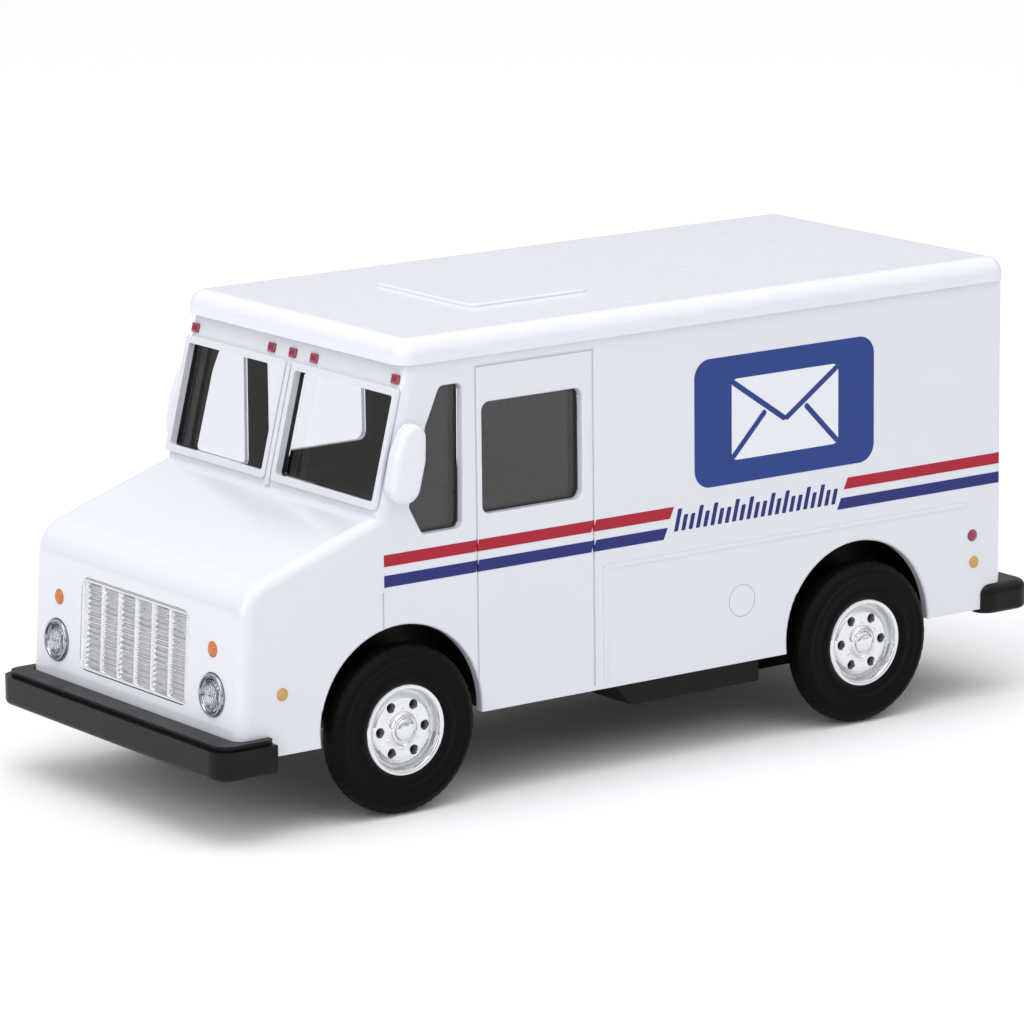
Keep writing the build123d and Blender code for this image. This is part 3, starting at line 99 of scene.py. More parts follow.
# ------------------------------------------------------------------ properties
class VanColours(bpy.types.PropertyGroup):
    """Colours of the van's finishes."""

    enamel: colour("Enamel", "Gloss white enamel on the casting", "#D8DBE2")
    # painted shade: the near-black colour of the casting's inside stands in for the shade inside the closed
    # cab
    painted_cab_shade: colour("Painted_cab_shade", "Dark primer inside the casting", "#0B0C10")
    roof: colour("Roof", "White moulded plastic of the roof and mirrors", "#DEDFE8")
    smoke: colour("Glazing", "Faint smoke of the clear glazing", "#F8F9FC")
    chrome: colour("Chrome", "Vacuum plating on the grille, lamps and rims", "#E6E7EA")
    # painted reflection: the headlights get a darker copy of the chrome, which stands in for the dark
    # surroundings their bowls reflect
    headlight_reflection_shade: colour("Lamp plating", "Darker plating in the headlights", "#A3A5AE")
    red_ink: colour("Red stripe", "Printed red stripe", "#A8142C")
    navy_ink: colour("Navy stripe", "Printed navy stripe and bar row", "#1E2770")
    blue_ink: colour("Emblem", "Printed blue field of the emblem", "#1F3B82")
    white_ink: colour("Envelope", "Printed white envelope on the emblem", "#E6E8EE")
    black: colour("Black plastic", "Satin black of the pan and bumpers", "#08080B")
    tyre: colour("Tyre", "Soft black vinyl of the tyres", "#070709")
    orange: colour("Turn lamps", "Amber lamps beside the grille", "#CC6F22")
    amber: colour("Side markers", "Yellow amber side markers", "#CDA04A")
    crimson: colour("Clearance lamps", "Red lamps over the windscreen", "#93163A")


class VanSizes(bpy.types.PropertyGroup):
    """Sizes of the printed livery and the fine detail."""

    print_t: length("Ink", "How far the printing stands off the wall", 0.03)
    stripe_front: length("Stripe start", "Where the stripes start, behind the nose", -38.7)
    red_low: length("Red stripe foot", "Height of the red stripe's lower edge", 31.15)
    navy_low: length("Navy stripe foot", "Height of the navy stripe's lower edge", 28.6)
    stripe_h: length("Stripe height", "Height of each stripe", 1.45)
    emblem_y: length("Emblem middle", "Middle of the emblem along the van", 23.1)
    emblem_z: length("Emblem height", "Height of the emblem's middle", 42.5)
    emblem_w: length("Emblem width", "Width of the blue field", 29.0)
    emblem_h: length("Emblem depth", "Height of the blue field", 16.4)
    bars_start: length("Bar row start", "Front end of the row of bars", 5.6)
    bars_end: length("Bar row end", "Rear end of the row of bars", 30.9)
    bar_count: IntProperty(name="Bars", description="Number of bars in the row", default=23, min=4)
    lug_count: IntProperty(name="Tread lugs", description="Lugs round each tyre", default=52, min=12)
    lug_depth: length("Lug depth", "Depth of the tread pattern", 0.06)
    louvre_rows: IntProperty(name="Louvres", description="Rows of louvres in the grille", default=15, min=4)
    grille_bars: IntProperty(name="Grille columns", description="Columns of louvres", default=6, min=2)


class VanStudio(bpy.types.PropertyGroup):
    """The plain studio that the van stands in."""

    floor: colour("Floor", "Pale floor", "#F1F1F2")
    sky: FloatProperty(name="Sky", description="Brightness of the soft light overhead", default=1.46, min=0)
    horizon: FloatProperty(
        name="Horizon", description="Brightness low on the dark side", default=0.08, min=0
    )
    key: FloatProperty(name="Key", description="Power of the overhead softbox", default=1.7, unit="POWER")
    front: FloatProperty(name="Front", description="Power of the front softbox", default=1.9, unit="POWER")
    floor_size: FloatProperty(
        name="Floor size", description="Side of the floor", default=12.0, unit="LENGTH"
    )
    focal: FloatProperty(name="Focal length", description="Camera's focal length in mm", default=192.2)


# ------------------------------------------------------------------ node materials
def add(tree, kind, inputs=None, **settings):
    """Adds one node. Each input, by name or number, takes a value or another node's output."""
    made = tree.nodes.new(kind)
    for name, value in settings.items():
        setattr(made, name, value)
    for name, value in (inputs or {}).items():
        if isinstance(value, bpy.types.NodeSocket):
            tree.links.new(value, made.inputs[name])
        else:
            made.inputs[name].default_value = value
    return made


def surface_material(name, **sockets):
    """A new material with one Principled shader whose constant sockets are set directly."""
    made = bpy.data.materials.new(name)
    made.use_nodes = True
    shader = made.node_tree.nodes["Principled BSDF"]
    for socket, value in sockets.items():
        shader.inputs[socket.replace("_", " ")].default_value = value
    return made, made.node_tree, shader


def rgba(values, gain=1.0):
    """A linear colour with full alpha, scaled by gain."""
    return (*[min(1.0, v * gain) for v in values], 1.0)


def object_noise(tree, grain, detail=3.0, rough=0.5):
    """Noise on Object coordinates whose blobs are grain metres across."""
    place = add(tree, "ShaderNodeTexCoord")
    return add(tree, "ShaderNodeTexNoise", {
        "Vector": place.outputs["Object"], "Scale": 1 / grain, "Detail": detail, "Roughness": rough,
    }).outputs["Fac"]


def between(tree, factor, low, high):
    """A value that runs from low to high as factor runs from 0 to 1."""
    return add(tree, "ShaderNodeMapRange", {
        "Value": factor, "To Min": low, "To Max": high,
    }).outputs["Result"]


def mixed(tree, factor, first, second):
    """A colour between two colours or colour outputs."""
    return add(tree, "ShaderNodeMix", {0: factor, 6: first, 7: second}, data_type="RGBA").outputs[2]


def bumped(tree, shader, height, depth, strength=1.0):
    """Drives the shader's normal from a height, depth metres tall."""
    bump = add(tree, "ShaderNodeBump", {"Height": height, "Distance": depth, "Strength": strength})
    tree.links.new(bump.outputs["Normal"], shader.inputs["Normal"])


def feed(tree, shader, socket, output):
    """Links one output to a named socket of the shader."""
    tree.links.new(output, shader.inputs[socket])


def above(tree, value, threshold):
    """1 where value is above the threshold, else 0."""
    return add(tree, "ShaderNodeMath", {0: value, 1: threshold}, operation="GREATER_THAN").outputs[0]


def product(tree, first, second):
    """The product of two values."""
    return add(tree, "ShaderNodeMath", {0: first, 1: second}, operation="MULTIPLY").outputs[0]


def gloss_enamel(colours):
    """Stoved gloss enamel on a zinc die casting: a wet, even gloss with a faint orange peel, and
    slightly greyer where the paint pulls thin. Inside, the casting is painted near black as painted shade
    for the closed cab."""
    material, tree, shader = surface_material(
        "gloss_enamel", IOR=1.5, Coat_Weight=0.35, Coat_Roughness=0.05, Specular_IOR_Level=0.5
    )
    place = add(tree, "ShaderNodeTexCoord")
    axes = add(tree, "ShaderNodeSeparateXYZ", {"Vector": place.outputs["Object"]})
    across = add(tree, "ShaderNodeMath", {0: axes.outputs["X"]}, operation="ABSOLUTE").outputs[0]
    skin = WALL_X - 1.25 * MM
    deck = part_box("roof_cap")[0].z
    wall_side = above(tree, across, skin)
    # the screen and hood lines in the YZ plane: outside where y is ahead of the inner face
    screen_foot_y, screen_foot_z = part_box("windshield_glazing")[0].yz
    behind_screen = add(tree, "ShaderNodeMath", {
        0: axes.outputs["Z"], 1: -math.tan(SCREEN_LEAN), 2: axes.outputs["Y"],
    }, operation="MULTIPLY_ADD").outputs[0]
    screen_limit = screen_foot_y - 0.9 * MM - screen_foot_z * math.tan(SCREEN_LEAN)
    inside_screen = above(tree, behind_screen, screen_limit)
    below_deck = above(tree, deck - 0.2 * MM, axes.outputs["Z"])
    ahead_rear = above(tree, REAR_Y - 0.9 * MM, axes.outputs["Y"])
    not_side = add(tree, "ShaderNodeMath", {0: 1.0, 1: wall_side}, operation="SUBTRACT").outputs[0]
    inside = product(tree, product(tree, not_side, inside_screen), product(tree, below_deck, ahead_rear))
    # faint cloudiness 9 mm across, as the paint film varies
    cloud = object_noise(tree, 9 * MM, 2.0)
    white = mixed(tree, cloud, rgba(colours.enamel), rgba(colours.enamel, 0.975))
    # painted shade: inside the casting the white gives way to near black, so the cab reads dark through the
    # glazing
    feed(tree, shader, "Base Color", mixed(tree, inside, white, rgba(colours.painted_cab_shade)))
    # orange peel 0.9 mm across, and dust nibs of 0.25 mm
    peel = object_noise(tree, 0.9 * MM, 1.0)
    nibs = object_noise(tree, 0.25 * MM, 2.0)
    gloss = mixed(tree, inside, rgba((0.16, 0.16, 0.16)), rgba((0.6, 0.6, 0.6)))
    feed(tree, shader, "Roughness", gloss)
    height = add(tree, "ShaderNodeMath", {0: nibs, 1: 0.12, 2: peel}, operation="MULTIPLY_ADD").outputs[0]
    bumped(tree, shader, height, 0.006 * MM)
    return material


def gloss_abs(colours):
    """Gloss white moulded ABS: a little light passes into it, which softens its edges, and the
    mould's polish leaves a fine even haze."""
    material, tree, shader = surface_material(
        "gloss_white_abs", IOR=1.53, Subsurface_Weight=0.12, Subsurface_Scale=0.6 * MM,
        Coat_Weight=0.15, Coat_Roughness=0.1,
    )
    shader.inputs["Subsurface Radius"].default_value = (1.0, 0.95, 0.9)
    cloud = object_noise(tree, 12 * MM, 2.0)
    feed(tree, shader, "Base Color", mixed(tree, cloud, rgba(colours.roof), rgba(colours.roof, 0.98)))
    haze = object_noise(tree, 1.4 * MM, 3.0)
    feed(tree, shader, "Roughness", between(tree, haze, 0.2, 0.3))
    bumped(tree, shader, haze, 0.005 * MM)
    return material


def clear_styrene(name, tint, roughness, ripple):
    """Clear moulded polystyrene: sharp reflections, a faint smoke, and slow ripples from the mould."""
    material, tree, shader = surface_material(
        name, IOR=1.45, Transmission_Weight=1.0, Base_Color=rgba(tint)
    )
    wave = object_noise(tree, 5 * MM, 1.0)
    feed(tree, shader, "Roughness", between(tree, wave, roughness, roughness + 0.03))
    bumped(tree, shader, wave, ripple)
    return material


def vacuum_chrome(name, tint, low, high):
    """Vacuum-plated aluminium on moulded ABS: mirror bright, a touch darker and softer in random
    patches 1.6 mm across, with the moulding's fine waviness showing through."""
    material, tree, shader = surface_material(name, Metallic=1.0)
    cloud = object_noise(tree, 1.6 * MM, 3.0)
    feed(tree, shader, "Base Color", mixed(tree, cloud, rgba(tint), rgba(tint, 0.84)))
    feed(tree, shader, "Roughness", between(tree, cloud, low, high))
    wave = object_noise(tree, 0.7 * MM, 2.0)
    bumped(tree, shader, wave, 0.03 * MM)
    return material


def rim_chrome(colours):
    """Plated rim: chrome as above, with painted shade inside the six vent pockets: the mesh's own
    attribute marks them, and there the colour goes near black, matt and not metal."""
    material, tree, shader = surface_material("plated_rim_chrome")
    shaded_pocket = add(tree, "ShaderNodeAttribute", attribute_name="shaded_pocket").outputs["Fac"]
    cloud = object_noise(tree, 1.2 * MM, 3.0)
    bright = mixed(tree, cloud, rgba(colours.chrome), rgba(colours.chrome, 0.84))
    # painted shade: in the pockets the colour goes to the tyre's near black, matt and not metal
    feed(tree, shader, "Base Color", mixed(tree, shaded_pocket, bright, rgba(colours.tyre)))
    feed(tree, shader, "Metallic", between(tree, shaded_pocket, 1.0, 0.0))
    feed(tree, shader, "Roughness", between(tree, shaded_pocket, 0.09, 0.6))
    wave = object_noise(tree, 0.8 * MM, 2.0)
    bumped(tree, shader, wave, 0.05 * MM)
    return material


def printed_ink(name, tint):
    """Pad-printed gloss ink: opaque, level, with a slight mottle 0.4 mm across where the silicone
    pad lifted off."""
    material, tree, shader = surface_material(name, IOR=1.48, Specular_IOR_Level=0.3)
    mottle = object_noise(tree, 0.4 * MM, 3.0)
    feed(tree, shader, "Base Color", mixed(tree, mottle, rgba(tint), rgba(tint, 0.9)))
    feed(tree, shader, "Roughness", between(tree, mottle, 0.2, 0.3))
    bumped(tree, shader, mottle, 0.003 * MM)
    return material


def lamp_plastic(name, tint):
    """Tinted gloss styrene lamp: its colour deepens in patches 0.5 mm across and its face is glossy."""
    material, tree, shader = surface_material(
        name, IOR=1.55, Coat_Weight=0.5, Coat_Roughness=0.04, Subsurface_Weight=0.2,
        Subsurface_Scale=0.4 * MM,
    )
    depth = object_noise(tree, 0.5 * MM, 2.0)
    feed(tree, shader, "Base Color", mixed(tree, depth, rgba(tint), rgba(tint, 0.72)))
    feed(tree, shader, "Roughness", between(tree, depth, 0.12, 0.22))
    return material


def satin_abs(name, tint, low, high):
    """Satin moulded ABS: spark-eroded grain 0.18 mm across, which breaks up the highlights, and
    slow changes of gloss where the melt cooled."""
    material, tree, shader = surface_material(name, IOR=1.53, Specular_IOR_Level=0.17)
    grain = object_noise(tree, 0.18 * MM, 3.0)
    flow = object_noise(tree, 7 * MM, 2.0)
    feed(tree, shader, "Base Color", mixed(tree, flow, rgba(tint), rgba(tint, 1.35)))
    feed(tree, shader, "Roughness", between(tree, flow, low, high))
    bumped(tree, shader, grain, 0.012 * MM)
    return material


def soft_vinyl(colours):
    """Soft PVC tyre: black with a dusty bloom in patches 2 mm across, dull, and finely pebbled."""
    material, tree, shader = surface_material("soft_pvc_tyre", IOR=1.5, Specular_IOR_Level=0.07)
    bloom = object_noise(tree, 2.2 * MM, 4.0, 0.6)
    pebble = object_noise(tree, 0.16 * MM, 2.0)
    feed(tree, shader, "Base Color", mixed(tree, bloom, rgba(colours.tyre), rgba(colours.tyre, 1.9)))
    feed(tree, shader, "Roughness", between(tree, bloom, 0.36, 0.56))
    bumped(tree, shader, pebble, 0.014 * MM)
    return material


def bright_steel(name, tint, grain):
    """Drawn or rolled steel: fine lines along X from the die, which stretch the highlights."""
    material, tree, shader = surface_material(name, Metallic=1.0)
    place = add(tree, "ShaderNodeTexCoord")
    drawn = add(tree, "ShaderNodeMapping", {"Vector": place.outputs["Object"], "Scale": (0.04, 1.0, 1.0)})
    lines = add(tree, "ShaderNodeTexNoise", {
        "Vector": drawn.outputs["Vector"], "Scale": 1 / grain, "Detail": 3.0,
    }).outputs["Fac"]
    feed(tree, shader, "Base Color", mixed(tree, lines, rgba(tint), rgba(tint, 0.75)))
    feed(tree, shader, "Roughness", between(tree, lines, 0.25, 0.42))
    bumped(tree, shader, lines, 0.01 * MM)
    return material


def natural_acetal():
    """Natural acetal gears: milky, waxy, a little light passes into the teeth."""
    material, tree, shader = surface_material(
        "natural_acetal", IOR=1.48, Subsurface_Weight=0.35, Subsurface_Scale=0.5 * MM
    )
    cloud = object_noise(tree, 1.5 * MM, 2.0)
    feed(tree, shader, "Base Color", mixed(tree, cloud, rgba(linear("#E9E6DC")), rgba(linear("#DAD6C8"))))
    feed(tree, shader, "Roughness", between(tree, cloud, 0.35, 0.5))
    bumped(tree, shader, object_noise(tree, 0.3 * MM), 0.006 * MM)
    return material


def matt_floor(studio):
    """Matt coated paper sweep: even and pale, with a tooth too fine to see."""
    material, tree, shader = surface_material("matt_paper_floor", IOR=1.4, Specular_IOR_Level=0.1)
    tooth = object_noise(tree, 30 * MM, 2.0)
    feed(tree, shader, "Base Color", mixed(tree, tooth, rgba(studio.floor), rgba(studio.floor, 0.99)))
    feed(tree, shader, "Roughness", between(tree, tooth, 0.85, 0.95))
    return material


# ------------------------------------------------------------------ surfaces
def surface(points, wrap_u=False, wrap_v=False, first_cap=False, last_cap=False):
    """Vertices and faces of a grid of points, shaped (nu, nv, 3). Each face joins (i, j), (i+1, j),
    (i+1, j+1) and (i, j+1), and a wrapped direction runs on from its last line to its first. A cap
    is a fan of triangles from a middle point to the first or last line of the u direction."""
    nu, nv = points.shape[:2]
    index = np.arange(nu * nv).reshape(nu, nv)
    if wrap_u:
        index = np.vstack((index, index[:1]))
    if wrap_v:
        index = np.hstack((index, index[:, :1]))
    faces = np.stack((index[:-1, :-1], index[1:, :-1], index[1:, 1:], index[:-1, 1:]), axis=-1)
    vertices = points.reshape(-1, 3)
    faces = faces.reshape(-1, 4).tolist()
    for wanted, line in ((first_cap, index[0]), (last_cap, index[-1][::-1])):
        if wanted:
            middle = len(vertices)
            vertices = np.vstack((vertices, vertices[line[:-1]].mean(axis=0)))
            fan = np.column_stack((line[:-1], line[1:], np.full(len(line) - 1, middle)))
            faces += fan.tolist()
    return vertices, faces


def enclosed(vertices, faces):
    """Six times the signed volume inside the faces, from each face's fan of triangles."""
    first = np.array([f[:3] for f in faces])
    second = np.array([(f[0], f[2], f[-1]) for f in faces])
    corners = np.concatenate((first, second))
    a, b, c = (vertices[corners[:, k]] for k in range(3))
    return np.einsum("ij,ij->i", a, np.cross(b, c)).sum()


def piece(name, surfaces, material, body, nodes=(), sharp=35.0, attributes=None):
    """A mesh object made of closed surfaces, with its faces outwards, riding on a CAD body."""
    vertices, faces = [], []
    start = 0
    for points, around in surfaces:
        centred = points - points.mean(axis=0)
        outwards = enclosed(centred, around) > 0
        vertices.append(points)
        faces += [[i + start for i in (f if outwards else f[::-1])] for f in around]
        start += len(points)
    mesh = bpy.data.meshes.new(name)
    mesh.from_pydata(np.concatenate(vertices).tolist(), [], faces)
    for attribute_name, values in (attributes or {}).items():
        layer = mesh.attributes.new(attribute_name, "FLOAT", "POINT")
        filled = np.zeros(len(mesh.vertices), np.float32)
        filled[:len(values)] = values
        layer.data.foreach_set("value", filled)
    mesh.polygons.foreach_set("use_smooth", [True] * len(mesh.polygons))
    mesh.set_sharp_from_angle(angle=math.radians(sharp))
    mesh.materials.append(material)
    mesh.validate()
    made = bpy.data.objects.new(name, mesh)
    bpy.context.scene.collection.objects.link(made)
    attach(made, body)
    if nodes:
        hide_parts(*nodes)
    return made


def resampled(corners, count, closed=False, soften=0):
    """Points spaced evenly along the straight runs between corners, then softened by a running
    mean over soften points each way, which rounds the corners."""
    path = np.array(corners, float)
    if closed:
        path = np.vstack((path, path[:1]))
    run = np.concatenate(([0], np.cumsum(np.linalg.norm(np.diff(path, axis=0), axis=1))))
    places = np.linspace(0, run[-1], count, endpoint=not closed)
    line = np.column_stack([np.interp(places, run, path[:, k]) for k in range(2)])
    if soften:
        mode = "wrap" if closed else "edge"
        padded = np.pad(line, ((soften, soften), (0, 0)), mode=mode)
        kernel = np.ones(2 * soften + 1) / (2 * soften + 1)
        line = np.column_stack([np.convolve(padded[:, k], kernel, "valid") for k in range(2)])
    return line


def step(value, low, high):
    """A smooth step from 0 at low to 1 at high."""
    t = np.clip((value - low) / (high - low), 0, 1)
    return t * t * (3 - 2 * t)


def turned(x, radius, angle, centre):
    """Points at x along the axle, radius from it and angle round it; centre is its (y, z)."""
    y = centre[0] + radius * np.cos(angle)
    z = centre[1] + radius * np.sin(angle)
    return np.stack((np.broadcast_to(x, radius.shape), y, z), axis=-1)


class Place:
    """A flat place on the van: an origin with directions across, up and out."""

    def __init__(self, origin, across, up):
        self.origin = np.array(origin, float)
        self.across = np.array(across, float)
        self.up = np.array(up, float)
        self.out = np.cross(self.across, self.up)

    def points(self, a, b, h):
        """Local coordinates to the van's own frame."""
        return (
            self.origin + a[..., None] * self.across + b[..., None] * self.up + h[..., None] * self.out
        )

    def at(self, a, b, turn=0.0):
        """The same place with its origin moved to (a, b) and its directions turned in its plane."""
        moved = self.origin + a * self.across + b * self.up
        c, s = math.cos(turn), math.sin(turn)
        return Place(moved, c * self.across + s * self.up, c * self.up - s * self.across)


def nose_place():
    """The nose face, from the foot of the nose, leaning back."""
    return Place((0, NOSE_FOOT.y, NOSE_FOOT.z), (1, 0, 0), (0, math.sin(NOSE_LEAN), math.cos(NOSE_LEAN)))


def side_place(side):
    """One side wall; across is +Y on the left and -Y on the right, so that out is away from it."""
    return Place((side * WALL_X, 0, 0), (0, side, 0), (0, 0, 1))


def sheet(place, half_w, half_h, radius, height, back, nu=24, nv=12, shear=0.0, stations=None):
    """A closed rounded sheet: a rounded rectangle's front, whose height above the place is a
    function of (a, b), with an edge that runs back to a flat rear face. Across each line b the
    half width is half_w less the corner's circle, half_w - r + sqrt(r^2 - (|b| - half_h + r)^2).
    Stations are the places across it, from -1 to 1, where they aren't evenly spaced."""
    u = np.linspace(-1, 1, nu) if stations is None else stations
    nu = len(u)
    v = np.linspace(-1, 1, nv)
    if radius > 0:
        v = np.sin(v * math.pi / 2)
    b = np.repeat((v * half_h)[None, :], nu, axis=0)
    into = np.clip(np.abs(b) - (half_h - radius), 0, radius)
    reach = half_w - radius + np.sqrt(np.maximum(radius ** 2 - into ** 2, 0))
    a = u[:, None] * reach + shear * b
    top = np.stack((a, b, np.broadcast_to(height(a, b), a.shape)), axis=-1)
    rim = np.concatenate((top[:, 0], top[-1, 1:], top[-2::-1, -1], top[0, -2:0:-1]))
    index = np.arange(nu * nv).reshape(nu, nv)
    rim_index = np.concatenate((index[:, 0], index[-1, 1:], index[-2::-1, -1], index[0, -2:0:-1]))
    rear = rim.copy()
    rear[:, 2] = back
    count = len(rim)
    local = np.concatenate((top.reshape(-1, 3), rear))
    points = place.points(local[:, 0], local[:, 1], local[:, 2])
    faces = np.stack((index[:-1, :-1], index[1:, :-1], index[1:, 1:], index[:-1, 1:]), -1).reshape(-1, 4)
    ring = np.arange(count)
    after = np.roll(ring, -1)
    walls = np.stack((rim_index[after], rim_index[ring], ring + nu * nv, after + nu * nv), -1)
    return points, faces.tolist() + walls.tolist() + [(ring[::-1] + nu * nv).tolist()]


def turned_button(place, profile, count=48, shape=None):
    """A button turned about the place's outward direction: profile is (radius, height) from its
    middle to its rear edge, and shape may change the height by (radius, angle)."""
    angle = np.arange(count) * TAU / count
    radius = np.repeat(profile[:, :1], count, axis=1)
    height = np.repeat(profile[:, 1:], count, axis=1)
    if shape is not None:
        height = height + shape(radius, angle[None, :])
    points = place.points(radius * np.cos(angle), radius * np.sin(angle), height)
    return surface(points, wrap_v=True, first_cap=True, last_cap=True)


# ------------------------------------------------------------------ operators
class VAN_OT_body(bpy.types.Operator):
    """Paints the casting, the roof cap and the mirrors"""

    bl_idname = "van.body"
    bl_label = "Body finishes"

    def execute(self, context):
        colours = context.scene.van_colours
        enamel = gloss_enamel(colours)
        plastic = gloss_abs(colours)
        finish("body_shell", enamel)
        for name in ("roof_cap", "mirror_left", "mirror_right"):
            finish(name, plastic)
        return {"FINISHED"}


def finish(node, material):
    """Gives a CAD node its material, in every slot of its mesh."""
    mesh = NODES[node].data
    mesh.materials.clear()
    mesh.materials.append(material)


class VAN_OT_glazing(bpy.types.Operator):
    """Gives the windscreen and the side glazing their clear finish"""

    bl_idname = "van.glazing"
    bl_label = "Glazing"

    def execute(self, context):
        glass = clear_styrene("clear_styrene_glazing", context.scene.van_colours.smoke, 0.0, 0.004 * MM)
        for name in ("windshield_glazing", "side_glazing_left", "side_glazing_right"):
            finish(name, glass)
        return {"FINISHED"}


class VAN_OT_chassis(bpy.types.Operator):
    """Finishes the base pan, bumpers, cab tray, axles, screws and the spring motor"""

    bl_idname = "van.chassis"
    bl_label = "Chassis and motor"

    def execute(self, context):
        colours = context.scene.van_colours
        black = satin_abs("satin_black_abs", colours.black, 0.26, 0.4)
        dull = satin_abs("dull_black_abs", colours.black, 0.5, 0.65)
        grey = satin_abs("satin_grey_abs", linear("#3A3B3F"), 0.35, 0.5)
        plated = bright_steel("zinc_plated_steel", linear("#B9BBBE"), 0.12 * MM)
        blued = bright_steel("blued_spring_steel", linear("#4A4F63"), 0.2 * MM)
        acetal = natural_acetal()
        coats = {
            black: ("front_bumper", "rear_bumper", "base_pan"),
            dull: ("cab_tray",),
            grey: ("motor_case_left", "motor_case_right"),
            plated: ("chassis_screws", "front_axle", "rear_axle", "transfer_pin", "drum_arbor"),
            blued: ("mainspring",),
            acetal: ("axle_gear", "transfer_gear", "spring_drum"),
        }
        for material, names in coats.items():
            for name in names:
                finish(name, material)
        return {"FINISHED"}


# The tyre's section, as (distance out from its inner wall, radius) in millimetres.
TYRE_SECTION = (
    (4.25, 6.2), (0.0, 6.2), (0.0, 8.3), (0.5, 9.1), (1.3, 9.85), (2.2, 10.5), (2.7, 10.6), (3.4, 10.6),
    (4.2, 10.45), (4.9, 9.95), (5.22, 9.4), (5.28, 9.05), (5.14, 8.95), (5.17, 8.2), (5.06, 7.3),
    (5.1, 7.0), (5.28, 6.85), (5.26, 6.45), (5.05, 5.95), (4.75, 5.72), (4.45, 5.75), (4.35, 6.0),
)
TYRE_STEPS = 132
TYRE_TURN = 468
# The rim's section from the middle of its cap to the back of its hub, as (distance out from the
# rim's seat in the tyre, radius) in millimetres.
RIM_FRONT = (
    (0.88, 0.02), (0.86, 0.5), (0.78, 1.0), (0.62, 1.35), (0.3, 1.5), (0.26, 1.75), (0.1, 1.85),
    (-0.1, 2.15), (-0.14, 2.8), (-0.08, 3.4), (-0.12, 3.95), (-0.36, 4.25), (-0.7, 4.5), (-0.8, 4.68),
    (-0.45, 4.86), (0.35, 5.0), (0.62, 5.1), (0.7, 5.3), (0.68, 5.6), (0.45, 5.85), (0.0, 6.0),
)
RIM_BACK = (
    (-0.3, 6.25), (-4.0, 6.25), (-4.0, 5.3), (-2.1, 5.2), (-2.1, 2.0), (-7.38, 2.0), (-7.4, 1.9),
    (-7.4, 0.85),
)
RIM_FRONT_STEPS = 170
RIM_BACK_STEPS = 60
RIM_TURN = 360
POCKETS = 6
POCKET_AT = 3.3 * MM
POCKET_R = 0.6 * MM
POCKET_DEPTH = 1.1 * MM
NUT_AT = 2.35 * MM
NUT_R = 0.26 * MM
NUT_H = 0.14 * MM


def tyre_surface(side, inner_x, centre, sizes):
    """A tyre: its section carried round the axle. Outside radius 9.7 mm the tread is cut by two
    grooves and by lugs, a square wave of the angle that leans away from the middle line, and the
    outer wall carries a ring of low ribs."""
    section = resampled(TYRE_SECTION, TYRE_STEPS, closed=True, soften=1) * MM
    angle = np.arange(TYRE_TURN)[None, :] * TAU / TYRE_TURN
    out = np.repeat(section[:, :1], TYRE_TURN, axis=1)
    radius = np.repeat(section[:, 1:], TYRE_TURN, axis=1)
    middle = 2.9 * MM
    lean = np.abs(out - middle) * 260
    wave = np.sin(sizes.lug_count * angle + lean)
    lug = step(wave, -0.35, 0.35)
    tread = step(radius, 9.7 * MM, 10.2 * MM)
    centre_rib = 1 - step(np.abs(out - middle), 0.18 * MM, 0.3 * MM)
    cut = tread * (1 - lug) * (1 - centre_rib)
    groove = tread * np.exp(-(((np.abs(out - middle) - 0.75 * MM) / (0.1 * MM)) ** 2))
    radius = radius - sizes.lug_depth * np.maximum(cut, groove)
    wall = step(radius, 7.35 * MM, 7.5 * MM) * (1 - step(radius, 8.55 * MM, 8.7 * MM)) * (out > 4.5 * MM)
    rib = step(np.sin(sizes.lug_count * 1.5 * angle), 0.1, 0.8)
    out = out + 0.02 * MM * wall * rib
    points = turned(side * (inner_x + out), radius, angle, centre)
    return surface(points, wrap_u=True, wrap_v=True)


def rim_surface(side, seat_x, centre):
    """A plated rim: its section carried round the axle. Six round pockets sink into the disc and
    six nuts stand on it, each a smooth step of the distance from its own middle."""
    front = resampled(RIM_FRONT, RIM_FRONT_STEPS, soften=1)
    back = resampled(RIM_BACK, RIM_BACK_STEPS)
    section = np.vstack((front, back)) * MM
    on_front = (np.arange(len(section)) < RIM_FRONT_STEPS)[:, None]
    angle = np.arange(RIM_TURN)[None, :] * TAU / RIM_TURN
    out = np.repeat(section[:, :1], RIM_TURN, axis=1)
    radius = np.repeat(section[:, 1:], RIM_TURN, axis=1)
    sector = TAU / POCKETS
    swing = (angle + sector / 2) % sector - sector / 2
    pocket_gap = np.hypot(radius * np.cos(swing) - POCKET_AT, radius * np.sin(swing))
    # this pocket mask also carries painted shade into the rim's material, through the mesh attribute
    shaded_pocket = (1 - step(pocket_gap, POCKET_R * 0.8, POCKET_R * 1.05)) * on_front
    nut_swing = angle % sector - sector / 2
    nut_gap = np.hypot(radius * np.cos(nut_swing) - NUT_AT, radius * np.sin(nut_swing))
    nut = (1 - step(nut_gap, NUT_R * 0.7, NUT_R)) * on_front
    out = out - POCKET_DEPTH * shaded_pocket + NUT_H * nut
    points = turned(side * (seat_x + out), radius, angle, centre)
    vertices, faces = surface(points, wrap_v=True, first_cap=True, last_cap=True)
    return vertices, faces, shaded_pocket.ravel()


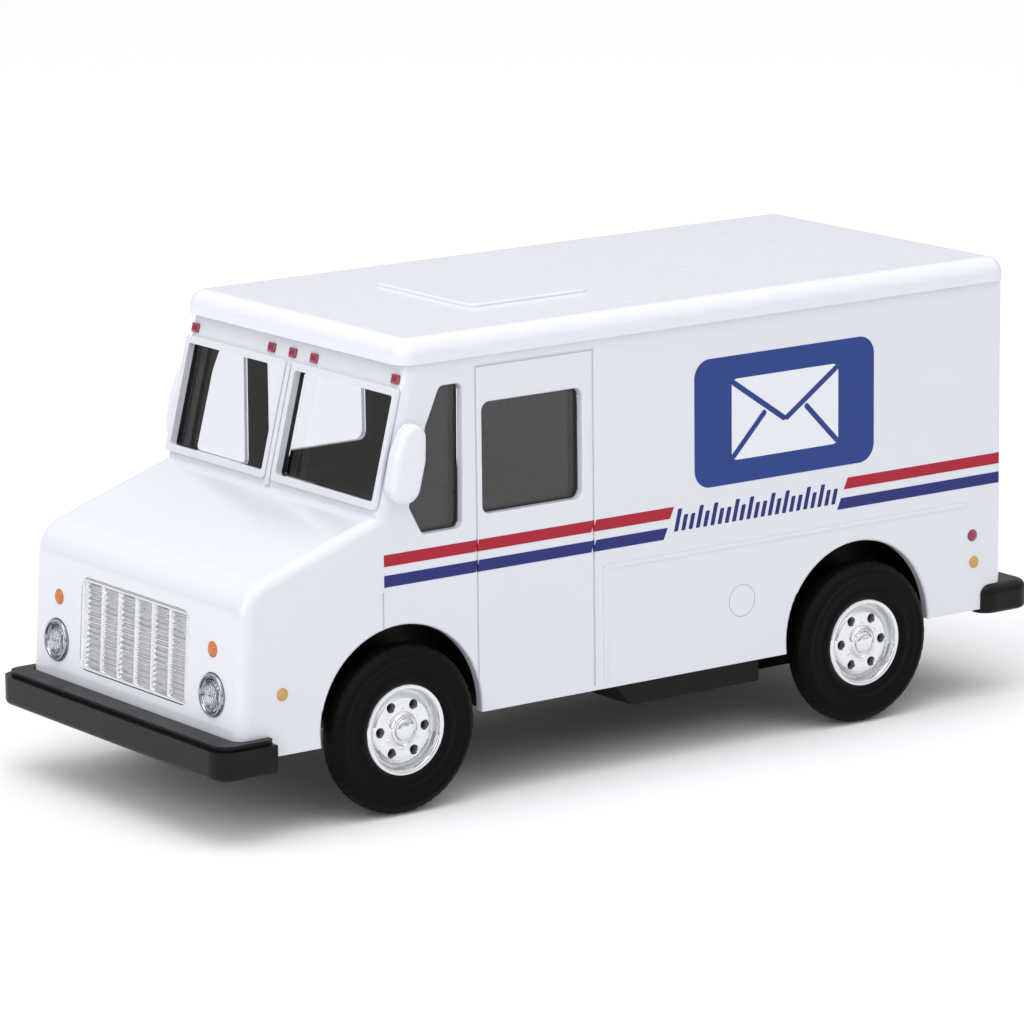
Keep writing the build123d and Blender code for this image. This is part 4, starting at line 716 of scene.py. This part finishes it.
class VAN_OT_wheels(bpy.types.Operator):
    """Builds the four tyres and the four plated rims"""

    bl_idname = "van.wheels"
    bl_label = "Wheels"

    def execute(self, context):
        sizes = context.scene.van_sizes
        colours = context.scene.van_colours
        vinyl = soft_vinyl(colours)
        chrome = rim_chrome(colours)
        for axle in AXLES:
            body = f"{axle}_wheels"
            for name, side in SIDES.items():
                low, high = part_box(f"{axle}_tyre_{name}")
                centre = ((low.y + high.y) / 2, (low.z + high.z) / 2)
                inner_x = min(abs(low.x), abs(high.x))
                outer_x = max(abs(low.x), abs(high.x))
                node = f"{axle}_tyre_{name}"
                tyre = tyre_surface(side, inner_x, centre, sizes)
                piece(f"{axle}_tyre_tread_{name}", [tyre], vinyl, body, [node], sharp=50)
                seat_x = outer_x - 1.1 * MM
                vertices, faces, shaded_pocket = rim_surface(side, seat_x, centre)
                piece(
                    f"{axle}_rim_plated_{name}", [(vertices, faces)], chrome, body,
                    [f"{axle}_rim_{name}"], sharp=60, attributes={"shaded_pocket": shaded_pocket},
                )
        return {"FINISHED"}


class VAN_OT_grille(bpy.types.Operator):
    """Builds the plated grille with its columns of louvres"""

    bl_idname = "van.grille"
    bl_label = "Grille"

    def execute(self, context):
        sizes = context.scene.van_sizes
        low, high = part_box("grille_insert")
        half_w = (high.x - low.x) / 2
        half_h = (high.z - low.z) / 2 / math.cos(NOSE_LEAN)
        place = nose_place().at(0, ((low.z + high.z) / 2 - NOSE_FOOT.z) / math.cos(NOSE_LEAN))
        border = 0.75 * MM
        floor = -0.55 * MM
        column = 2 * (half_w - border) / sizes.grille_bars
        row = 2 * (half_h - border) / sizes.louvre_rows
        phase_shift = row / 2

        def relief(a, b):
            """The grille's height: a raised border, upright bars between the columns, and in each
            column louvres that rise as a saw tooth and dip by half a row from column to column."""
            edge = np.minimum(half_w - np.abs(a), half_h - np.abs(b))
            rim = 1 - step(edge, border * 0.6, border)
            number = np.floor((a + half_w - border) / column)
            across = (a + half_w - border) / column - number
            bar = 1 - step(np.minimum(across, 1 - across) * column, 0.14 * MM, 0.34 * MM)
            slat = ((b + half_h - border + phase_shift * (number % 2)) / row) % 1.0
            saw = step(slat, 0.0, 0.28) * (1 - 0.55 * step(slat, 0.28, 1.0))
            saw = saw * (0.5 + 0.5 * np.sin(math.pi * across))
            raised = np.maximum(rim * 0.62 * MM, np.maximum(bar * 0.44 * MM, saw * 0.4 * MM))
            crown = 0.1 * MM * (1 - step(edge, 0, 0.25 * MM))
            return floor + raised - crown

        plated = vacuum_chrome("vacuum_plated_chrome", context.scene.van_colours.chrome, 0.2, 0.32)
        front = sheet(place, half_w, half_h, 1.5 * MM, relief, -0.85 * MM, nu=330, nv=190)
        piece("grille_plated", [front], plated, TRUCK, ["grille_insert"], sharp=60)
        return {"FINISHED"}


# Headlight bezel and reflector, from the middle of the bowl to the rear edge, the lens over it
# and the bulb within it: (radius, height over the nose face) in millimetres.
BOWL = (
    (0.02, -0.8), (0.35, -0.78), (0.8, -0.62), (1.3, -0.4), (1.75, -0.1), (1.95, 0.12), (2.05, 0.2),
    (2.15, 0.14), (2.25, 0.12), (2.35, 0.34), (2.52, 0.4), (2.64, 0.3), (2.68, 0.1), (2.68, -0.85),
    (0.3, -0.88),
)
LENS = (
    (0.02, 0.5), (0.6, 0.49), (1.1, 0.43), (1.5, 0.34), (1.8, 0.22), (1.93, 0.08), (1.93, -0.06),
    (0.3, -0.05),
)
BULB = ((0.02, -0.1), (0.25, -0.16), (0.42, -0.35), (0.45, -0.75), (0.1, -0.79))


def flutes(radius, angle):
    """Upright flutes 0.4 mm apart across the lens, fading to its edge."""
    across = radius * np.cos(angle)
    fade = (1 - step(radius, 1.5 * MM, 1.8 * MM)) * (radius > 0.1 * MM)
    return 0.05 * MM * np.cos(TAU * across / (0.4 * MM)) * fade


class VAN_OT_headlights(bpy.types.Operator):
    """Builds the two headlights: a plated bezel with its bowl and bulb, and a fluted lens"""

    bl_idname = "van.headlights"
    bl_label = "Headlights"

    def execute(self, context):
        colours = context.scene.van_colours
        # painted reflection: the bezel and bowl use the darker chrome copy, which stands in for dark
        # reflections
        plated = vacuum_chrome("headlight_chrome_painted_dark", colours.headlight_reflection_shade, 0.05, 0.12)
        clear = clear_styrene("clear_styrene_lens", linear("#F4F5F8"), 0.0, 0.01 * MM)
        bowl = resampled(BOWL, 90) * MM
        dome = resampled(LENS, 60) * MM
        bulb = resampled(BULB, 24) * MM
        for name in SIDES:
            low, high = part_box(f"headlight_{name}")
            x = (low.x + high.x) / 2
            v = ((low.z + high.z) / 2 - NOSE_FOOT.z) / math.cos(NOSE_LEAN)
            place = nose_place().at(x, v)
            surfaces = [turned_button(place, bowl, 72), turned_button(place, bulb, 24)]
            piece(f"headlight_bezel_{name}", surfaces, plated, TRUCK, [f"headlight_{name}"])
            lens = [turned_button(place, dome, 96, flutes)]
            piece(f"headlight_glass_{name}", lens, clear, TRUCK, [f"headlight_lens_{name}"])
        return {"FINISHED"}


# A round marker's section, (radius, height) as shares of its radius: domed, with a stepped skirt.
MARKER = (
    (0.01, 0.42), (0.35, 0.4), (0.6, 0.33), (0.76, 0.22), (0.8, 0.14), (0.92, 0.13), (1.0, 0.06),
    (1.0, -0.2), (0.2, -0.2),
)


def marker(place, radius, rings):
    """A round lamp: a dome with fine concentric optic rings and a stepped skirt."""
    line = resampled(MARKER, 54, soften=1) * radius

    def optic(r, _angle):
        """Concentric rings, a cosine of the radius that fades at the dome's edge."""
        return 0.02 * radius * np.cos(TAU * rings * r / radius) * (1 - step(r, 0.55 * radius, 0.7 * radius))

    return turned_button(place, line, 48, optic)


class VAN_OT_lamps(bpy.types.Operator):
    """Builds the turn lamps, side markers, reflectors and the five clearance lamps"""

    bl_idname = "van.lamps"
    bl_label = "Lamps and markers"

    def execute(self, context):
        colours = context.scene.van_colours
        orange = lamp_plastic("amber_styrene_turn_lamp", colours.orange)
        amber = lamp_plastic("amber_styrene_marker", colours.amber)
        crimson = lamp_plastic("red_styrene_lamp", colours.crimson)
        nose = nose_place()

        low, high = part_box("turn_lamps")
        radius = (high.z - low.z) / 2
        v = ((low.z + high.z) / 2 - NOSE_FOOT.z) / math.cos(NOSE_LEAN)
        surfaces = [marker(nose.at(side * (high.x - radius), v), radius, 4) for side in SIDES.values()]
        piece("turn_lamp_pair", surfaces, orange, TRUCK, ["turn_lamps"])

        low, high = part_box("side_markers")
        radius = 0.8 * MM
        ends = ((low.y + radius, low.z + radius), (high.y - radius, high.z - radius))
        surfaces = [
            marker(side_place(side).at(side * y, z), radius, 4) for side in SIDES.values() for y, z in ends
        ]
        piece("side_marker_set", surfaces, amber, TRUCK, ["side_markers"])

        low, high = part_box("rear_side_reflectors")
        y, z = (low.y + high.y) / 2, (low.z + high.z) / 2
        surfaces = [marker(side_place(side).at(side * y, z), radius, 5) for side in SIDES.values()]
        piece("rear_reflector_pair", surfaces, crimson, TRUCK, ["rear_side_reflectors"])

        piece("clearance_lamp_row", self.roof_lamps(), crimson, TRUCK, ["clearance_lamps"])
        return {"FINISHED"}

    def roof_lamps(self):
        """Five small rounded lenses along the header: one at each end and three in the middle."""
        low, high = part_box("clearance_lamps")
        half_w = 0.76 * MM
        half_h = 0.6 * MM
        z = (low.z + high.z) / 2
        up = (0, math.sin(SCREEN_LEAN), math.cos(SCREEN_LEAN))
        y = low.y + (high.z - low.z) / 2 * math.sin(SCREEN_LEAN) + 0.22 * MM
        front = Place((0, y, z), (1, 0, 0), up)
        end = high.x - 0.8 * MM

        def dome(a, b):
            """A pillow: full height in the middle, falling with the fourth power to each edge."""
            fall = np.maximum(np.abs(a) / half_w, np.abs(b) / half_h) ** 4
            return 0.26 * MM - 0.16 * MM * fall

        return [
            sheet(front.at(x, 0), half_w, half_h, 0.25 * MM, dome, -0.5 * MM, 16, 14)
            for x in (-end, -4.7 * MM, 0.0, 4.7 * MM, end)
        ]


SEAMS_Y = (-38.9 * MM, -24.9 * MM, -7.2 * MM)
SEAM_DEPTH = 0.18 * MM
SEAM_FLOOR_HALF = 0.11 * MM
SEAM_LIP_HALF = 0.14 * MM
STRIPE_SLANT = 0.45
BAR_FOOT = 29.4 * MM
BAR_TALL = 1.42 * MM
BAR_SHORT = 1.0 * MM
BAR_LEAN = 0.25


class VAN_OT_livery(bpy.types.Operator):
    """Prints the stripes, the envelope emblem and the row of bars on both sides"""

    bl_idname = "van.livery"
    bl_label = "Livery"

    def execute(self, context):
        sizes = context.scene.van_sizes
        colours = context.scene.van_colours
        red = printed_ink("red_pad_ink", colours.red_ink)
        navy = printed_ink("navy_pad_ink", colours.navy_ink)
        blue = printed_ink("blue_pad_ink", colours.blue_ink)
        white = printed_ink("white_pad_ink", colours.white_ink)
        for name, side in SIDES.items():
            wall = side_place(side)
            for ink, label, foot, ends in (
                (red, "red", sizes.red_low, (5.0 * MM, 33.0 * MM)),
                (navy, "navy", sizes.navy_low, (4.0 * MM, 31.9 * MM)),
            ):
                bands = [
                    self.band(wall, side, sizes, foot, sizes.stripe_front, ends[0], (0, 1)),
                    self.band(wall, side, sizes, foot, ends[1], REAR_Y - 1.15 * MM, (1, 0)),
                ]
                piece(f"{label}_stripe_{name}", bands, ink, TRUCK, sharp=60)
            piece(f"bar_row_{name}", self.bars(wall, side, sizes), navy, TRUCK)
            centre = wall.at(side * sizes.emblem_y, sizes.emblem_z)
            field = sheet(
                centre, sizes.emblem_w / 2, sizes.emblem_h / 2, 2.4 * MM,
                lambda a, b: sizes.print_t, -0.05 * MM, 40, 40,
            )
            piece(f"emblem_field_{name}", [field], blue, TRUCK)
            letter, flaps = self.envelope(centre, sizes)
            piece(f"emblem_envelope_{name}", [letter], white, TRUCK)
            piece(f"emblem_folds_{name}", flaps, blue, TRUCK)
        return {"FINISHED"}

    def band(self, wall, side, sizes, foot, start, end, slants):
        """A stripe along the wall that dips into each seam it crosses. Its ends lean: the share of
        the lean grows from the first slant at its front to the second at its rear."""
        middle = side * (start + end) / 2
        half_h = sizes.stripe_h / 2
        half_w = (end - start) / 2
        count = int(2 * half_w / (1.0 * MM))
        lips = [side * seam + reach for seam in SEAMS_Y for reach in (
            -SEAM_LIP_HALF, -SEAM_FLOOR_HALF, SEAM_FLOOR_HALF, SEAM_LIP_HALF,
        )]
        crossings = (np.array(lips) - middle) / half_w
        crossings = crossings[np.abs(crossings) < 0.999]
        stations = np.unique(np.concatenate((np.linspace(-1, 1, count), crossings)))

        def follow(a, _b):
            """The print's height: level, and down on the seam's floor where one passes under it."""
            along = side * (a + middle)
            gap = np.min([np.abs(along - seam) for seam in SEAMS_Y], axis=0)
            return sizes.print_t - SEAM_DEPTH * (gap < (SEAM_FLOOR_HALF + SEAM_LIP_HALF) / 2)

        points, faces = sheet(
            wall.at(middle, foot + half_h), half_w, half_h, 0.0, follow, -0.25 * MM, nv=6, stations=stations
        )
        share = (points[:, 1] - start) / (end - start)
        lean = slants[0] * (1 - share) + slants[1] * share
        points[:, 1] += lean * STRIPE_SLANT * (points[:, 2] - foot - half_h)
        return points, faces

    def bars(self, wall, side, sizes):
        """A plain row of slanted bars: a bar is tall where its number times seven leaves less than
        two when divided by five, and the rest are short."""
        row = []
        pitch = (sizes.bars_end - sizes.bars_start) / (sizes.bar_count - 1)
        for number in range(sizes.bar_count):
            tall = (number * 7) % 5 < 2
            half_h = BAR_TALL if tall else BAR_SHORT
            y = sizes.bars_start + number * pitch + BAR_LEAN * half_h
            place = wall.at(side * y, BAR_FOOT + half_h)
            row.append(sheet(
                place, 0.31 * MM, half_h, 0.1 * MM, lambda a, b: sizes.print_t, -0.05 * MM, 6, 10,
                shear=side * BAR_LEAN,
            ))
        return row

    def envelope(self, centre, sizes):
        """A white letter with a blue fold line from each corner: two long ones meet below the
        middle and two short ones run to them from the foot."""
        half_w, half_h = 8.6 * MM, 5.2 * MM
        over = sizes.print_t * 1.9
        letter = sheet(centre, half_w, half_h, 0.9 * MM, lambda a, b: over, -0.05 * MM, 30, 30)
        folds = []
        knee = -0.9 * MM
        for hand in (-1, 1):
            for start, end in (
                ((hand * half_w * 0.985, half_h * 0.93), (0.0, knee)),
                ((hand * half_w * 0.985, -half_h * 0.93), (hand * 3.2 * MM, 0.55 * MM)),
            ):
                run = math.hypot(end[0] - start[0], end[1] - start[1])
                turn = math.atan2(end[1] - start[1], end[0] - start[0])
                place = centre.at((start[0] + end[0]) / 2, (start[1] + end[1]) / 2, turn)
                folds.append(sheet(
                    place, run / 2, 0.36 * MM, 0.3 * MM,
                    lambda a, b: over + sizes.print_t * 0.9, -0.05 * MM, 24, 10,
                ))
        return letter, folds


# The camera's azimuth, elevation and roll in degrees, its distance in metres, and its aim.
VIEW_TURN = (54.28, 12.33, -0.66)
VIEW_DISTANCE = 0.69907
VIEW_TARGET = np.array((-0.44, -2.11, 28.8)) * MM


class VAN_OT_stage(bpy.types.Operator):
    """Lays the pale floor, the soft light and the camera"""

    bl_idname = "van.stage"
    bl_label = "Stage"

    def execute(self, context):
        studio = context.scene.van_studio
        self.floor(studio)
        self.sky(context, studio)
        self.softbox("key_softbox", (0.12, -0.2, 0.8), 0.55, studio.key)
        self.softbox("front_softbox", (0.22, -0.8, 0.42), 0.6, studio.front)
        self.camera(context, studio)
        context.scene.view_settings.view_transform = "Standard"
        return {"FINISHED"}

    def floor(self, studio):
        """A flat square under the tyres, wide enough to fill the view."""
        half = studio.floor_size / 2
        span = np.linspace(-half, half, 9)
        a, b = np.meshgrid(span, span, indexing="ij")
        points = np.stack((a, b, np.zeros_like(a)), axis=-1)
        vertices, faces = surface(points)
        mesh = bpy.data.meshes.new("floor")
        mesh.from_pydata(vertices.tolist(), [], faces)
        mesh.materials.append(matt_floor(studio))
        made = bpy.data.objects.new("floor", mesh)
        bpy.context.scene.collection.objects.link(made)

    def sky(self, context, studio):
        """Soft light from above and the left: its strength grows with the dot product of its
        direction and a direction that points up and to the van's left."""
        world = bpy.data.worlds.new("studio_sky")
        context.scene.world = world
        world.use_nodes = True
        tree = world.node_tree
        place = add(tree, "ShaderNodeTexCoord")
        toward = add(tree, "ShaderNodeVectorMath", {
            0: place.outputs["Generated"], 1: (0.08, 0.03, 0.99),
        }, operation="DOT_PRODUCT")
        strength = add(tree, "ShaderNodeMapRange", {
            "Value": toward.outputs["Value"], "From Min": -0.2,
            "To Min": studio.horizon, "To Max": studio.sky,
        })
        background = tree.nodes["Background"]
        background.inputs["Color"].default_value = (0.985, 0.99, 1.0, 1.0)
        tree.links.new(strength.outputs["Result"], background.inputs["Strength"])

    def softbox(self, name, place, size, power):
        """A square area light that looks at the middle of the van."""
        light = bpy.data.lights.new(name, "AREA")
        light.size = size
        light.energy = power
        made = bpy.data.objects.new(name, light)
        bpy.context.scene.collection.objects.link(made)
        back = np.array(place) - np.array((0, 0, 0.03))
        back /= np.linalg.norm(back)
        right = np.cross((0, 0, 1), back)
        right /= np.linalg.norm(right)
        up = np.cross(back, right)
        made.matrix_world = placed(right, up, back, place)

    def camera(self, context, studio):
        """A long lens, low ahead of the van's left front corner."""
        lens = bpy.data.cameras.new("camera")
        lens.sensor_width = 36.0
        lens.lens = studio.focal
        lens.clip_start = 0.01
        made = bpy.data.objects.new("camera", lens)
        context.scene.collection.objects.link(made)
        azimuth, elevation, roll = (math.radians(d) for d in VIEW_TURN)
        level_share = math.cos(elevation)
        back = np.array((
            math.sin(azimuth) * level_share, -math.cos(azimuth) * level_share, math.sin(elevation),
        ))
        level = np.array((math.cos(azimuth), math.sin(azimuth), 0))
        upright = np.cross(back, level)
        right = math.cos(roll) * level + math.sin(roll) * upright
        up = math.cos(roll) * upright - math.sin(roll) * level
        made.matrix_world = placed(right, up, back, VIEW_TARGET + back * VIEW_DISTANCE)
        context.scene.camera = made


def placed(right, up, back, origin):
    """A matrix from three directions and a place."""
    rows = [[right[k], up[k], back[k], origin[k]] for k in range(3)]
    return Matrix((*rows, (0, 0, 0, 1)))


class VAN_PT_panel(bpy.types.Panel):
    """Lists the van's operators and properties"""

    bl_idname = "VAN_PT_panel"
    bl_label = "Delivery van"
    bl_space_type = "VIEW_3D"
    bl_region_type = "UI"
    bl_category = "Van"

    def draw(self, context):
        column = self.layout.column()
        for operator in OPERATORS:
            column.operator(operator.bl_idname)
        for group in (context.scene.van_colours, context.scene.van_sizes, context.scene.van_studio):
            for name in group.bl_rna.properties.keys():
                if name not in ("name", "rna_type"):
                    column.prop(group, name)


OPERATORS = (
    VAN_OT_body, VAN_OT_glazing, VAN_OT_chassis, VAN_OT_wheels, VAN_OT_grille,
    VAN_OT_headlights, VAN_OT_lamps, VAN_OT_livery, VAN_OT_stage,
)
CLASSES = (VanColours, VanSizes, VanStudio, *OPERATORS, VAN_PT_panel)


def register():
    """Registers the classes and hangs the properties on the scene."""
    for each in CLASSES:
        bpy.utils.register_class(each)
    bpy.types.Scene.van_colours = PointerProperty(type=VanColours)
    bpy.types.Scene.van_sizes = PointerProperty(type=VanSizes)
    bpy.types.Scene.van_studio = PointerProperty(type=VanStudio)


def unregister():
    """Takes the properties and classes away again."""
    del bpy.types.Scene.van_studio
    del bpy.types.Scene.van_sizes
    del bpy.types.Scene.van_colours
    for each in reversed(CLASSES):
        bpy.utils.unregister_class(each)


def main():
    """Registers the add-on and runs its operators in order."""
    register()
    for operator in OPERATORS:
        group, name = operator.bl_idname.split(".")
        getattr(getattr(bpy.ops, group), name)()


if __name__ == "__main__":
    main()
